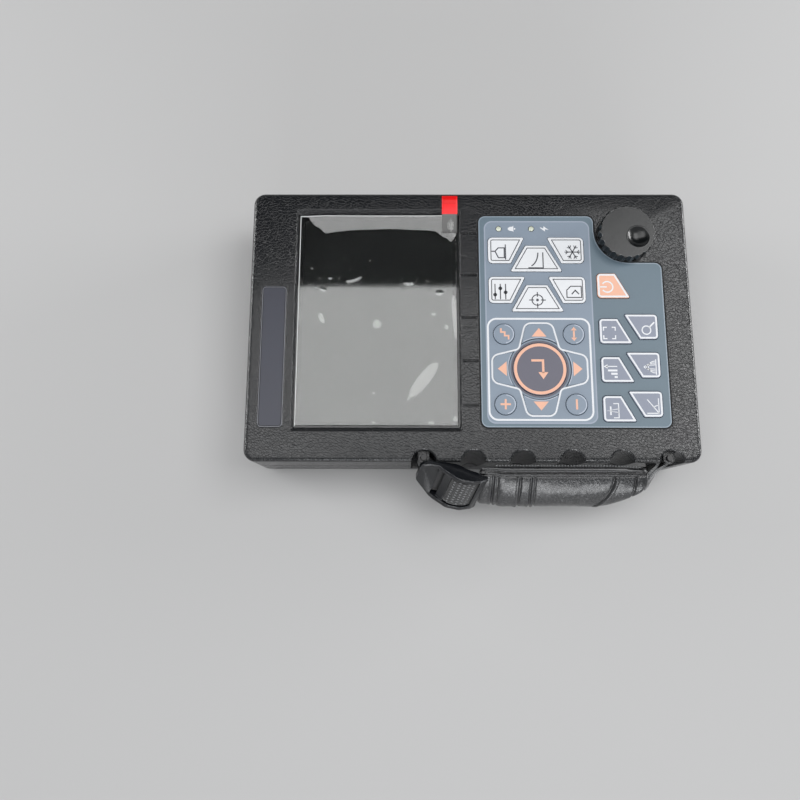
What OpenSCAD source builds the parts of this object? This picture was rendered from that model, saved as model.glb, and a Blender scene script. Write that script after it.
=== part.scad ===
// Ultrasonic flaw detector: a hand-held instrument lying on its flat back. The display end points to +Y,
// the keypad and the knob to -Y, the face to +Z, and a padded hand strap runs along the -X side.

/* [Body] */
// Width across the display
body_w = 165; // [164:1:185]
// Length from the socket end to the keypad end; the window takes what the keypad leaves
body_l = 263; // [240:1:290]
// Thickness from the flat back to the face
body_t = 52; // [52:1:66]
// Radius of the four corners, seen from above
corner_r = 7; // [5:0.5:11]
// Rounding of the edges of the face and the back
edge_r = 3; // [1.5:0.5:4.5]
// Thickness of the side walls
wall_t = 2.8; // [2.2:0.1:3.4]
// Thickness of the face wall
face_t = 2.8; // [2.4:0.1:3.2]
// Thickness of the back wall
back_t = 3; // [2.6:0.1:4]
// Height of the parting line above the back
split_z = 26; // [24:0.5:27]
// Thickness of the seal between the two halves
seal_t = 1; // [0.6:0.1:1.6]

/* [Window] */
// Width of the clear window
window_w = 131.6; // [110:1:133]
// Distance from the socket end to the window
window_end_gap = 28; // [27:0.5:32]
// Depth of the glass below the face
window_depth = 2.5; // [1.5:0.1:3]
// Width of the sloping window edge along the sides
window_slope_x = 2.5; // [1:0.1:3.5]
// Width of the sloping window edge at the two ends
window_slope_y = 1.1; // [0.5:0.1:2.5]
// Thickness of the glass
glass_t = 2; // [1.2:0.1:3]
// Thickness of the protective film
film_t = 0.3; // [0.2:0.05:0.5]

/* [Keypad] */
// Width of the plain finger band between the -X side and the keypad
finger_margin = 19.9; // [17:0.1:21]
// Width of the keypad sheet
overlay_w = 129.6; // [129:0.1:134]
// Length of the keypad sheet
overlay_l = 109; // [108:0.5:114]
// Length of the ribbed strip between the window and the keypad sheet
strip_l = 12.2; // [8:0.1:14]
// Distance from the keypad sheet to the keypad end
overlay_end_gap = 16.8; // [15:0.1:20]
// Thickness of the keypad sheet
overlay_t = 1; // [0.8:0.1:1.4]
// How far a key stands above the keypad sheet
key_proud = 0.6; // [0.5:0.1:1.2]
// Travel of a key
key_travel = 0.4; // [0.2:0.05:0.4]
// Gap round a key in the keypad sheet
key_gap = 0.35; // [0.32:0.01:0.45]
// Length of the menu keys, across the body
menu_key_h = 16.25; // [12:0.25:17]
// Long side of the outer menu keys
menu_key_w = 21.6; // [16:0.1:22]
// Height of a function key from its long side to its short side
function_key_h = 15.1; // [12:0.1:16]
// Radius of the enter key
enter_key_r = 15.6; // [12:0.1:16]
// Radius of the round corner keys
corner_key_r = 6.1; // [4:0.1:6.5]

/* [Knob] */
// Radius of the knob
knob_r = 16.5; // [14:0.5:17.5]
// Height of the knob
knob_h = 8; // [7:0.1:14]
// Number of flutes round the knob
knob_flutes = 22; // [13:1:28]
// Radius of the encoder shaft
shaft_r = 3; // [2:0.25:3.5]

/* [Hand strap] */
// Distance between neighbouring finger scoops
scoop_pitch = 28.3; // [26:0.1:28.6]
// Radius of a finger scoop
scoop_r = 7.3; // [6.5:0.1:8]
// Radius of the strap anchor pins
anchor_pin_r = 1.6; // [1:0.1:1.8]
// Width of the webbing
web_w = 20; // [16:0.5:22]
// Thickness of the webbing
web_t = 1.5; // [1:0.1:1.6]
// Length of the padded part of the strap
pad_l = 98; // [92:1:99]
// Width of the padded part of the strap
pad_w = 40; // [34:0.5:41]
// Thickness of the padded part of the strap
pad_t = 7.2; // [5:0.2:7.4]

/* [Back] */
// Width of the battery
battery_w = 100; // [80:1:104]
// Length of the battery
battery_l = 70; // [56:1:71]
// Thickness of the battery
battery_t = 19.5; // [14:0.5:20]
// Width of the tilt stand
stand_w = 96; // [60:1:100]
// Length of the tilt stand
stand_l = 78; // [50:1:80]
// Thickness of the tilt stand
stand_t = 3.4; // [2.8:0.1:4]

/* [Sockets] */
// Width of the socket recess in the end of the body
recess_w = 112; // [104:1:116]
// Depth of the socket recess
recess_d = 13; // [11:0.5:13]
// Thickness of the socket plate
socket_plate_t = 2; // [1.5:0.1:2.5]
// Radius of a probe socket's barrel
socket_r = 4.8; // [4.6:0.1:6]
// Distance between the two probe sockets
socket_pitch = 28; // [24:1:32]

/* [Hidden] */
$fn = 48;
overrun = 1;        // how far a cut runs past the surface that it opens
sliver = 0.02;      // thickness of a plane that stands for an outline
fit = 0.3;          // clearance round a piece that lies in a recess
slack = 0.05;       // radial clearance of a screw or a turning shaft in its hole
arc_steps = 6;      // straight pieces in a rounded corner

// Colours
case_black = [0.07, 0.07, 0.075];
slate = [0.50, 0.53, 0.60];
key_white = [0.93, 0.94, 0.95];
key_orange = [0.93, 0.58, 0.42];
key_grey = [0.58, 0.61, 0.68];
disc_grey = [0.36, 0.37, 0.41];
steel = [0.78, 0.79, 0.80];
board_green = [0.10, 0.33, 0.20];
chip_black = [0.10, 0.10, 0.11];
tin = [0.70, 0.71, 0.72];
strap_black = [0.06, 0.06, 0.065];

// Places that follow from the body's sizes
side_x = body_w / 2;
end_y = body_l / 2;
field_x = finger_margin - side_x;
overlay_bottom = overlay_end_gap - end_y;
overlay_top = overlay_bottom + overlay_l;
window_bottom = overlay_top + strip_l;
window_top = end_y - window_end_gap;
window_l = window_top - window_bottom;
window_x = field_x + window_w / 2;
window_y = window_top - window_l / 2;
split_front = split_z + seal_t / 2;
split_back = split_z - seal_t / 2;
face_under = body_t - face_t;

// Window and its ledge
window_corner_r = 1.2;
seal_frame_t = 0.4;
ledge_w = 3.5;
ledge_t = 1.6;
rim_t = 2;
glass_top = body_t - window_depth;
glass_under = glass_top - glass_t;
ledge_top = glass_under - seal_frame_t;
ledge_under = ledge_top - ledge_t;

// Film on the glass and its pull tab, which climbs the window's edge onto the face
film_margin = 1;
film_gap = 0.02;
tab_w = 9.5;
tab_inner = 11;
tab_lift = 0.25;
tab_side_gap = 2.5;
tab_end_gap = 0.4;
tab_t = film_t;

// Display and its tray
lcd_border_x = 4.2;
lcd_border_y = 5.5;
lcd_w = window_w + 2 * lcd_border_x;
lcd_l = window_l + 2 * lcd_border_y;
lcd_t = 7;
lcd_gap = 0.3;
lcd_top = ledge_under - lcd_gap;
lcd_under = lcd_top - lcd_t;
bracket_t = 1.2;
bracket_rim = 14;
bracket_under = lcd_under - bracket_t;
lcd_boss_r = 2.6;
lcd_boss_x = 55;
lcd_boss_gap = 1.2;
lcd_boss_y = lcd_l / 2 + lcd_boss_gap + lcd_boss_r;
ribbon_w = 30;
ribbon_t = 0.4;
ribbon_reach = 6;

// Name plate beyond the window
plate_w = 84.6;
plate_l = 14.2;
plate_t = 0.6;
plate_sink = 0.8;
plate_r = 2;
plate_end_gap = 7.8;
plate_y = end_y - plate_end_gap - plate_l / 2;

// Ribbed strip between the window and the keypad sheet
groove_count = 5;
groove_pitch = 26.4;
groove_w = 1.5;
groove_d = 0.8;
groove_margin = 1.2;

// Keypad sheet and its step round the knob
overlay_sink = 0.8;
overlay_r = 4;
overlay_floor = body_t - overlay_sink;
overlay_face = overlay_floor + overlay_t;
step_gap = 29.8;
step_l = 39.6;
step_r = 20;
overlay_x = field_x + overlay_w;
step_x = overlay_x - step_gap;
step_y = overlay_bottom + step_l;

// Keys: a cap with a flange under the face wall and a stem over a dome on the keypad board
key_top = overlay_face + key_proud;
key_edge = 0.25;
flange_w = 1.1;
flange_t = 0.9;
flange_gap = 0.1;
flange_top = face_under - flange_gap;
flange_under = flange_top - flange_t;
stem_r = 2.2;
dome_r = 2.6;
dome_h = 0.7;
dome_gap = 0.1;
board_t = 1.6;
stem_l = 1.3;
stem_under = flange_under - stem_l;
dome_top = stem_under - key_travel - dome_gap;
keypad_board_top = dome_top - dome_h;
keypad_board_under = keypad_board_top - board_t;
keypad_board_inset = 1.6;

// Menu keys: two rows of three, each row two outer keys and a lower middle key
menu_edge_gap = 13.95;
menu_pitch = 24.9;
menu_centre_gap = 34.2;
menu_half = 28.6;
menu_short = 13.3;
menu_drop = 5.2;
menu_middle_top = 6.2;
menu_middle_bottom = 15.4;
menu_corner_r = 2.6;
menu_point_r = 0.7;
menu_stem_share = 2 / 3;
menu_y = overlay_top - menu_centre_gap;

// Power key and function keys: rows of two, mirrored to each other
function_pitch = 23.15;
function_first_gap = 18.5;
power_gap = 92.8;
function_left_gap = 39;
function_left_long = 19.1;
function_left_short = 10.8;
function_right_gap = 4.7;
function_right_long = 19.5;
function_right_short = 10.8;
function_shift = 2.7;
function_corner_r = 2.2;

// Navigation keys
nav_gap = 34.4;
nav_x = field_x + nav_gap;
nav_y = overlay_top - nav_gap;
enter_groove = 1.4;
arrow_gap = 2.8;
arrow_outer = 27.2;
arrow_outer_half = 7.6;
arrow_inner = 13;
arrow_inner_half = 10.8;
arrow_corner_r = 4.4;
corner_key_x = 21;
corner_key_y = 20.5;

// Indicator lamps
lamp_r = 1.5;
lamp_edge_gap = 8.15;
lamp_first_gap = 12.2;
lamp_pitch = 19.7;
lamp_places = [lamp_first_gap, lamp_first_gap + lamp_pitch];

// Knob and rotary encoder
knob_gap = 0.6;
knob_dx = 16.4;
knob_dy = 18.1;
knob_x = step_x + knob_dx;
knob_y = step_y - knob_dy;
flute_r = 1.9;
flute_out = 0.9;
knob_edge = 0.7;
dimple_r = 6.4;
dimple_d = 2.6;
dimple_dx = -3.3;
dimple_dy = -5.9;
dimple_ball_r = (dimple_r * dimple_r + dimple_d * dimple_d) / (2 * dimple_d);
knob_bottom = body_t + knob_gap;
knob_top = knob_bottom + knob_h;
nut_room_r = 7.6;
nut_room_h = 2.6;
shaft_up = 4.6;
bush_r = shaft_r + 1.2;
bush_up = 2.2;
encoder_size = 13;
encoder_t = 7;
nut_r = 5.8;
nut_h = 1.6;
bush_hole_gap = 0.15;

// Case screws
case_screw_in = 9.5;
boss_r = 4;
case_screw_r = 1.5;
case_hole_r = 1.8;
case_head_r = 2.8;
case_head_h = 2.2;
case_head_seat = 4.6;
case_screw_bite = 9;
socket_hex_r = 1.4;
hex_sides = 6;

// Inner screws
inner_screw_r = 1;
inner_head_r = 1.9;
inner_head_h = 1.2;
inner_bite = 4;

// Scoops for the fingers and the two strap anchors among them
scoop_count = 6;
scoop_out = 0.4;
scoop_lean = 11.5;
scoop_edge = 0.8;
scoop_first_gap = 17.6;
anchor_floor = 10;
anchor_x = 2.9 - side_x;
ear_z = 43.5;
ear_t = 3;
ear_rim = 1.7;
pin_top = 48.2;
pin_sunk = 5;

// Hand strap
web_z = 30;
web_gap = 0.2;
strap_lean = 34.5;
strap_gap = 2.6;
pad_x = -side_x - strap_gap - pad_w / 2 * sin(strap_lean);
pad_z = 33.5;
pad_pin_gap = 11.8;
pad_y0 = scoop_first_gap - end_y + pad_pin_gap;
pad_y1 = pad_y0 + pad_l;
pad_crown_share = 0.65;
buckle_l = 42;
buckle_over = 36;
buckle_turn = 14;
rail_t = 3.4;
buckle_w_top = 19.4;
buckle_w_bottom = 14.5;

// Battery, its bay and its cover
bay_end_gap = 20.5;
bay_wall = 2;
contact_gap = 1.4;
contact_t = 1.1;
contact_w = 3;
contact_h = 9;
contact_count = 4;
contact_pitch = 8;
cover_t = 2.6;
cover_sink = 0.3;
cover_rim_x = 7;
cover_rim_y0 = 6;
cover_rim_y1 = 12;
cover_r = 3;
cover_screw_x = 38;
cover_screw_in = 6;
cover_screw_r = 2;
cover_head_r = 4.2;
cover_head_h = 1.3;
cover_screw_l = 9;
coin_slot_w = 1.2;
coin_slot_d = 0.7;
battery_y0 = bay_end_gap - end_y;
battery_y1 = battery_y0 + battery_l;
cover_seat = cover_sink + cover_t;
battery_z = cover_seat + fit;
bay_top = battery_z + battery_t + fit;

// Tilt stand and its recess in the back
stand_end_gap = 35.5;
stand_sink = 0.5;
stand_fit = 0.5;
stand_room = 0.6;
stand_wall = 2.4;
stand_side = 8;
stand_r = 3;
stand_pin_r = 0.9;
stand_pin_grip = 5;
stand_hinge_y = end_y - stand_end_gap;
stand_z = stand_sink + stand_t / 2;
stand_recess_top = stand_sink + stand_t + stand_room;
stand_notch_r = 9;
stand_rib_w = 8;
stand_rib_d = 1;

// Socket recess, its plate and what it holds
recess_z0 = 8;
recess_z1 = 44;
liner_t = 2;
recess_r = 2;
socket_z = 26;
socket_first_gap = 22;
socket_l = 10.5;
socket_flange_r = 7;
socket_flange_t = 2.4;
socket_bore_r = socket_r - 0.7;
socket_bore_d = 8.5;
lug_r = 1;
lug_out = 1.1;
lug_back = 3.6;
rear_stem_r = 4;
rear_stem_l = 6;
insert_r = 2.3;
insert_l = 6.5;
contact_hole_r = 0.6;
port_gap = 16;
jack_r = 5.2;
jack_l = 7;
jack_hole_r = 2.9;
jack_pin_r = 0.9;
usb_w = 12;
usb_h = 7.5;
usb_l = 5;
usb_slot_w = 7.6;
usb_slot_h = 3;
port_pitch = 20;
rib_w = 6;
rib_h = 12;

// Main board and what is soldered to it
main_board_z = 27.4;
main_board_w = 132;
main_board_l = 100;
main_board_gap = 5.5;
post_r = 3;
post_in = 6;
can_w = 52;
can_l = 38;
can_h = 5;
can_wall = 0.6;
can_gap = 3;
sounder_r = 6;
sounder_h = 4.5;

// Functions for outlines
function short_turn(a) = a > 180 ? a - 360 : a < -180 ? a + 360 : a;
function arc_points(centre, r, from, to, steps) =
    [for (i = [0:steps])
        let(a = from + (to - from) * i / steps)
        centre + r * [cos(a), sin(a)]];
// The arc that rounds corner b of an outline between its neighbours a and c
function corner_points(a, b, c, r) =
    let(u = (a - b) / norm(a - b), w = (c - b) / norm(c - b))
    let(half = acos(u * w) / 2, reach = r / tan(half))
    let(centre = b + (u + w) / norm(u + w) * r / sin(half))
    let(first = b + u * reach - centre, last = b + w * reach - centre)
    let(from = atan2(first[1], first[0]), turn = short_turn(atan2(last[1], last[0]) - from))
    arc_points(centre, r, from, from + turn, arc_steps);
// An outline with rounded corners; a radius of zero keeps a corner sharp
function rounded(points, radii) =
    let(n = len(points))
    [for (i = [0:n - 1])
        each radii[i] > 0
            ? corner_points(points[(i + n - 1) % n], points[i], points[(i + 1) % n], radii[i])
            : [points[i]]];
function scoop_y(i) = scoop_first_gap - end_y + i * scoop_pitch;
function is_anchor(i) = i == 0 || i == scoop_count - 1;

module rounded_box(x0, x1, y0, y1, r)
    polygon(rounded([[x0, y0], [x1, y0], [x1, y1], [x0, y1]], [r, r, r, r]));

module at_z(z0, z1)
    translate([0, 0, z0])
        linear_extrude(z1 - z0)
            children();

module along_y(x, y0, y1, z, r)
    translate([x, y0, z])
        rotate([-90, 0, 0])
            cylinder(r = r, h = y1 - y0);

module upright(x, y, z0, z1, r)
    translate([x, y, z0])
        cylinder(r = r, h = z1 - z0);

module block(x0, x1, y0, y1, z0, z1)
    translate([x0, y0, z0])
        cube([x1 - x0, y1 - y0, z1 - z0]);

// The outside of the body, before it is split into two halves
module body_form()
    hull()
        for (sx = [-1, 1], sy = [-1, 1])
            translate([sx * (side_x - corner_r), sy * (end_y - corner_r), 0])
                rotate_extrude($fn = 32)
                    polygon(concat(
                        [[0, 0]],
                        arc_points([corner_r - edge_r, edge_r], edge_r, -90, 0, arc_steps),
                        arc_points([corner_r - edge_r, body_t - edge_r], edge_r, 0, 90, arc_steps),
                        [[0, body_t]]));

module body_plan(inset)
    rounded_box(inset - side_x, side_x - inset, inset - end_y, end_y - inset, corner_r - inset);

// Scoops: leaning cuts for the fingers, upright ones at the strap anchors
module scoop_form(i, grow, z0, z1)
    if (is_anchor(i))
        upright(-side_x - scoop_out, scoop_y(i), z0, z1, scoop_r + grow);
    else
        translate([-side_x - scoop_out, scoop_y(i), body_t])
            rotate([0, scoop_lean, 0])
                translate([0, 0, -body_t])
                    cylinder(r = scoop_r + grow, h = body_t + 2 * overrun);

module scoop_cuts()
    for (i = [0:scoop_count - 1]) {
        scoop_form(i, 0, anchor_floor, body_t + overrun);
        translate([-side_x - scoop_out, scoop_y(i), body_t - scoop_edge])
            cylinder(r1 = scoop_r, r2 = scoop_r + scoop_edge + overrun, h = scoop_edge + overrun);
    }

module scoop_walls(z0, z1)
    for (i = [0:scoop_count - 1])
        scoop_form(i, wall_t, z0, z1);

module anchor_ears()
    for (i = [0, scoop_count - 1]) {
        upright(anchor_x, scoop_y(i), ear_z, ear_z + ear_t, anchor_pin_r + ear_rim);
        block(anchor_x, anchor_x + scoop_r, scoop_y(i) - anchor_pin_r - ear_rim,
            scoop_y(i) + anchor_pin_r + ear_rim, ear_z, ear_z + ear_t);
    }

module anchor_pin_holes()
    for (i = [0, scoop_count - 1])
        upright(anchor_x, scoop_y(i), anchor_floor - pin_sunk - slack, body_t, anchor_pin_r + slack);

// Places of the six case screws
case_x = side_x - case_screw_in;
case_y = end_y - case_screw_in;
case_middle_y = (scoop_y(3) + scoop_y(4)) / 2;
case_places = [
    [-case_x, -case_y], [case_x, -case_y], [-case_x, case_middle_y],
    [case_x, case_middle_y], [-case_x, case_y], [case_x, case_y]
];

// Places of the inner screws
lcd_places = [
    for (sx = [-1, 1], sy = [-1, 1]) [window_x + sx * lcd_boss_x, window_y + sy * lcd_boss_y]
];
keypad_screw_in = 3.4;
keypad_screw_mid = 66.4;
keypad_screw_step = 12;
keypad_screw_low = 9;
keypad_places = [
    [field_x + keypad_screw_in, overlay_top - keypad_screw_in],
    [overlay_x - keypad_screw_in, overlay_top - keypad_screw_in],
    [field_x + keypad_screw_in, overlay_top - keypad_screw_mid],
    [overlay_x - keypad_screw_in, overlay_top - keypad_screw_mid + keypad_screw_step],
    [step_x - (step_gap - keypad_screw_in), overlay_bottom + keypad_screw_low]
];
main_board_y = end_y - recess_d - socket_plate_t - rear_stem_l - main_board_gap - main_board_l / 2;
main_places = [
    for (sx = [-1, 1], sy = [-1, 1])
        [sx * (main_board_w / 2 - post_in), main_board_y + sy * (main_board_l / 2 - post_in)]
];

// Keypad sheet's outline, grown by g on every side
function overlay_points(g) = rounded(
    [
        [field_x - g, overlay_bottom - g], [step_x + g, overlay_bottom - g], [step_x + g, step_y - g],
        [overlay_x + g, step_y - g], [overlay_x + g, overlay_top + g], [field_x - g, overlay_top + g]
    ],
    [overlay_r + g, overlay_r + g, step_r - g, overlay_r + g, overlay_r + g, overlay_r + g]);

// Key outlines
function menu_x(row) = overlay_x - menu_edge_gap - row * menu_pitch;

module menu_outline(row, side) {
    x1 = menu_x(row) - (side == 0 ? menu_drop : 0);
    x0 = x1 - menu_key_h;
    if (side == 0)
        polygon(rounded(
            [
                [x1, menu_y - menu_middle_top], [x1, menu_y + menu_middle_top],
                [x0, menu_y + menu_middle_bottom], [x0, menu_y - menu_middle_bottom]
            ],
            [menu_point_r, menu_point_r, menu_point_r, menu_point_r]));
    else
        polygon(rounded(
            [
                [x1, menu_y + side * menu_half], [x1, menu_y + side * (menu_half - menu_key_w)],
                [x0, menu_y + side * (menu_half - menu_short)], [x0, menu_y + side * menu_half]
            ],
            [menu_corner_r, menu_point_r, menu_point_r, menu_corner_r]));
}

function menu_place(row, side) = side == 0
    ? [menu_x(row) - menu_drop - menu_key_h / 2, menu_y]
    : [menu_x(row) - menu_key_h / 2, menu_y + side * (menu_half - menu_short * menu_stem_share)];

function function_x(row) = row < 0 ? field_x + power_gap : field_x + function_first_gap + row * function_pitch;
function_left_y = overlay_bottom + function_left_gap;
function_right_y = overlay_bottom + function_right_gap;

module function_outline(row, side) {
    x1 = function_x(row) + (side > 0 ? function_shift : 0);
    x0 = x1 - function_key_h;
    if (side < 0)
        polygon(rounded(
            [
                [x1, function_left_y], [x1, function_left_y - function_left_short],
                [x0, function_left_y - function_left_long], [x0, function_left_y]
            ],
            [function_corner_r, menu_point_r, menu_point_r, function_corner_r]));
    else
        polygon(rounded(
            [
                [x1, function_right_y], [x1, function_right_y + function_right_long],
                [x0, function_right_y + function_right_short], [x0, function_right_y]
            ],
            [function_corner_r, menu_point_r, menu_point_r, function_corner_r]));
}

function function_place(row, side) = side < 0
    ? [function_x(row) - function_key_h / 2, function_left_y - function_left_short / 2]
    : [function_x(row) + function_shift - function_key_h / 2, function_right_y + function_right_short / 2];

module arrow_outline(turn)
    translate([nav_x, nav_y])
        rotate(turn)
            polygon(rounded(
                [
                    [arrow_inner, -arrow_inner_half], [arrow_outer, -arrow_outer_half],
                    [arrow_outer, arrow_outer_half], [arrow_inner, arrow_inner_half]
                ],
                [0, arrow_corner_r, arrow_corner_r, 0]));

arrow_arc_r = enter_key_r + arrow_gap;
function arrow_place(turn) =
    [nav_x, nav_y] + (arrow_arc_r + arrow_outer) / 2 * [cos(turn), sin(turn)];
function corner_place(sx, sy) = [nav_x + sx * corner_key_x, nav_y + sy * corner_key_y];

key_places = concat(
    [for (row = [0, 1], side = [-1, 0, 1]) menu_place(row, side)],
    [function_place(-1, -1)],
    [for (row = [0:2], side = [-1, 1]) function_place(row, side)],
    [for (turn = [0:90:270]) arrow_place(turn)],
    [[nav_x, nav_y]],
    [for (sx = [-1, 1], sy = [-1, 1]) corner_place(sx, sy)]
);

// Openings for all the keys between two heights, wider than the keys by g
module key_cuts(g, z0, z1) {
    at_z(z0, z1) {
        for (row = [0, 1], side = [-1, 0, 1])
            offset(delta = g)
                menu_outline(row, side);
        for (row = [0:2], side = [-1, 1])
            offset(delta = g)
                function_outline(row, side);
        offset(delta = g)
            function_outline(-1, -1);
    }
    for (turn = [0:90:270])
        difference() {
            at_z(z0, z1)
                offset(delta = g)
                    arrow_outline(turn);
            upright(nav_x, nav_y, z0 - overrun, z1 + overrun, arrow_arc_r - g);
        }
    upright(nav_x, nav_y, z0, z1, enter_key_r + g);
    for (sx = [-1, 1], sy = [-1, 1])
        upright(corner_place(sx, sy)[0], corner_place(sx, sy)[1], z0, z1, corner_key_r + g);
}

module lamp_cuts(z0, z1)
    for (u = lamp_places)
        upright(overlay_x - lamp_edge_gap, overlay_top - u, z0, z1, lamp_r + fit);

// One key: cap with a bevelled top edge, flange and stem
module key_solid(place) {
    hull() {
        at_z(flange_top - sliver, key_top - key_edge)
            children();
        at_z(flange_top - sliver, key_top)
            offset(delta = -key_edge)
                children();
    }
    at_z(flange_under, flange_top)
        offset(delta = flange_w)
            children();
    upright(place[0], place[1], stem_under, flange_under + sliver, stem_r);
}

module round_key(place, r) {
    upright(place[0], place[1], flange_top - sliver, key_top - key_edge, r);
    translate([place[0], place[1], key_top - key_edge])
        cylinder(r1 = r, r2 = r - key_edge, h = key_edge);
    upright(place[0], place[1], flange_under, flange_top, r + flange_w);
    upright(place[0], place[1], stem_under, flange_under + sliver, stem_r);
}

module window_box(grow, z0, z1)
    at_z(z0, z1)
        rounded_box(field_x - grow, field_x + window_w + grow, window_bottom - grow, window_top + grow,
            window_corner_r);

// Front half of the case
module front_housing()
    color(case_black)
        difference() {
            union() {
                difference() {
                    intersection() {
                        body_form();
                        block(-body_w, body_w, -body_l, body_l, split_front, body_t + overrun);
                    }
                    difference() {
                        at_z(split_front - overrun, face_under)
                            body_plan(wall_t);
                        scoop_walls(0, body_t);
                        recess_block();
                    }
                }
                at_z(ledge_under, face_under + face_t / 2)
                    rounded_box(field_x - rim_t, field_x + window_w + rim_t, window_bottom - rim_t,
                        window_top + rim_t, window_corner_r);
                for (p = case_places)
                    upright(p[0], p[1], split_front, face_under + sliver, boss_r);
                for (p = lcd_places)
                    upright(p[0], p[1], lcd_under, face_under + sliver, lcd_boss_r);
                for (p = keypad_places)
                    upright(p[0], p[1], keypad_board_top, face_under + sliver, inner_head_r);
            }
            hull() {
                window_box(0, glass_top, glass_top + sliver);
                at_z(body_t, body_t + sliver)
                    rounded_box(field_x - window_slope_x, field_x + window_w + window_slope_x,
                        window_bottom - window_slope_y, window_top + window_slope_y, window_corner_r);
            }
            window_box(fit, ledge_top, glass_top + sliver);
            window_box(-ledge_w, ledge_under - overrun, ledge_top + sliver);
            at_z(overlay_floor, body_t + overrun)
                polygon(overlay_points(fit));
            key_cuts(key_gap, face_under - overrun, overlay_floor + overrun);
            lamp_cuts(face_under - overrun, overlay_floor + overrun);
            at_z(body_t - plate_sink, body_t + overrun)
                rounded_box(field_x - fit, field_x + plate_w + fit, plate_y - plate_l / 2 - fit,
                    plate_y + plate_l / 2 + fit, plate_r + fit);
            for (i = [0:groove_count - 1]) {
                x = window_x + (i - (groove_count - 1) / 2) * groove_pitch;
                block(x - groove_w / 2, x + groove_w / 2, overlay_top + groove_margin,
                    window_bottom - groove_margin, body_t - groove_d, body_t + overrun);
            }
            upright(knob_x, knob_y, face_under - overrun, body_t + overrun, bush_r + bush_hole_gap);
            difference() {
                scoop_cuts();
                anchor_ears();
            }
            anchor_pin_holes();
            recess_cut();
            for (p = case_places)
                upright(p[0], p[1], split_front - overrun, split_front + case_screw_bite + overrun,
                    case_screw_r + slack);
            for (p = lcd_places)
                upright(p[0], p[1], lcd_under - overrun, lcd_under + inner_bite + slack, inner_screw_r + slack);
            for (p = keypad_places)
                upright(p[0], p[1], keypad_board_top - overrun, keypad_board_under + inner_bite + slack,
                    inner_screw_r + slack);
        }

// Walls round the socket recess and the room inside them
module recess_block()
    block(-recess_w / 2 - liner_t, recess_w / 2 + liner_t, end_y - recess_d, end_y, recess_z0 - liner_t,
        recess_z1 + liner_t);

module recess_cut()
    translate([0, end_y + overrun, 0])
        rotate([90, 0, 0])
            linear_extrude(recess_d + 2 * overrun)
                rounded_box(-recess_w / 2, recess_w / 2, recess_z0, recess_z1, recess_r);

// Rear half of the case, with the battery bay and the stand's recess
module rear_housing()
    color(case_black)
        difference() {
            union() {
                difference() {
                    intersection() {
                        body_form();
                        block(-body_w, body_w, -body_l, body_l, -overrun, split_back);
                    }
                    difference() {
                        at_z(back_t, split_back + overrun)
                            body_plan(wall_t);
                        scoop_walls(0, body_t);
                        recess_block();
                    }
                }
                block(-bay_half - cover_rim_x - bay_wall, bay_half + cover_rim_x + bay_wall,
                    battery_y0 - cover_rim_y0 - bay_wall, battery_y1 + cover_rim_y1 + bay_wall,
                    back_t / 2, cover_screw_top);
                block(-bay_half - bay_wall, bay_half + bay_wall, battery_y0 - fit - bay_wall,
                    battery_y1 + contact_gap + bay_wall, back_t / 2, bay_top + bay_wall);
                block(-stand_w / 2 - stand_side, stand_w / 2 + stand_side,
                    stand_hinge_y - stand_l - stand_side, stand_hinge_y + stand_side,
                    back_t / 2, stand_recess_top + stand_wall);
                for (p = case_places)
                    upright(p[0], p[1], back_t / 2, split_front, boss_r);
                for (p = main_places)
                    upright(p[0], p[1], back_t / 2, main_board_z, post_r);
                for (sx = [-1, 1])
                    block(sx * recess_w / 4 - rib_w / 2, sx * recess_w / 4 + rib_w / 2,
                        end_y - recess_d - socket_plate_t - liner_t, end_y - recess_d - socket_plate_t,
                        back_t / 2, rib_h);
            }
            scoop_cuts();
            anchor_pin_holes();
            recess_cut();
            at_z(-overrun, cover_seat)
                rounded_box(-bay_half - cover_rim_x - fit, bay_half + cover_rim_x + fit,
                    battery_y0 - cover_rim_y0 - fit, battery_y1 + cover_rim_y1 + fit, cover_r + fit);
            block(-bay_half, bay_half, battery_y0 - fit, battery_y1 + contact_gap, 0, bay_top);
            for (p = cover_places)
                upright(p[0], p[1], 0, cover_seat + cover_screw_l, cover_screw_r + slack);
            block(-stand_w / 2 - stand_fit, stand_w / 2 + stand_fit, stand_hinge_y - stand_l - stand_fit,
                stand_hinge_y + stand_t / 2 + stand_fit, -overrun, stand_recess_top);
            upright(0, stand_hinge_y - stand_l, -overrun, stand_t, stand_notch_r);
            translate([-stand_w / 2 - stand_fit - stand_pin_grip, stand_hinge_y, stand_z])
                rotate([0, 90, 0])
                    cylinder(r = stand_pin_r + slack, h = stand_w + 2 * (stand_fit + stand_pin_grip));
            for (p = case_places) {
                upright(p[0], p[1], -overrun, case_head_seat, case_head_r + fit);
                upright(p[0], p[1], 0, split_front + overrun, case_hole_r);
            }
            for (p = main_places)
                upright(p[0], p[1], main_board_z - inner_bite - slack, main_board_z + overrun,
                    inner_screw_r + slack);
        }

bay_half = battery_w / 2 + fit;
cover_screw_top = cover_seat + cover_screw_l + bay_wall;
cover_places = [for (sx = [-1, 1]) [sx * cover_screw_x, battery_y1 + cover_rim_y1 - cover_screw_in]];

// Seal pressed between the halves of the case
seal_inset = 0.7;
module housing_seal()
    color([0.16, 0.16, 0.17])
        difference() {
            at_z(split_back, split_front)
                body_plan(seal_inset);
            difference() {
                at_z(split_back - overrun, split_front + overrun)
                    body_plan(wall_t);
                scoop_walls(0, body_t);
                recess_block();
            }
            for (i = [0:scoop_count - 1])
                scoop_form(i, seal_inset, 0, body_t);
            recess_cut();
            for (p = case_places)
                upright(p[0], p[1], split_back - overrun, split_front + overrun, boss_r + fit);
        }

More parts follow.
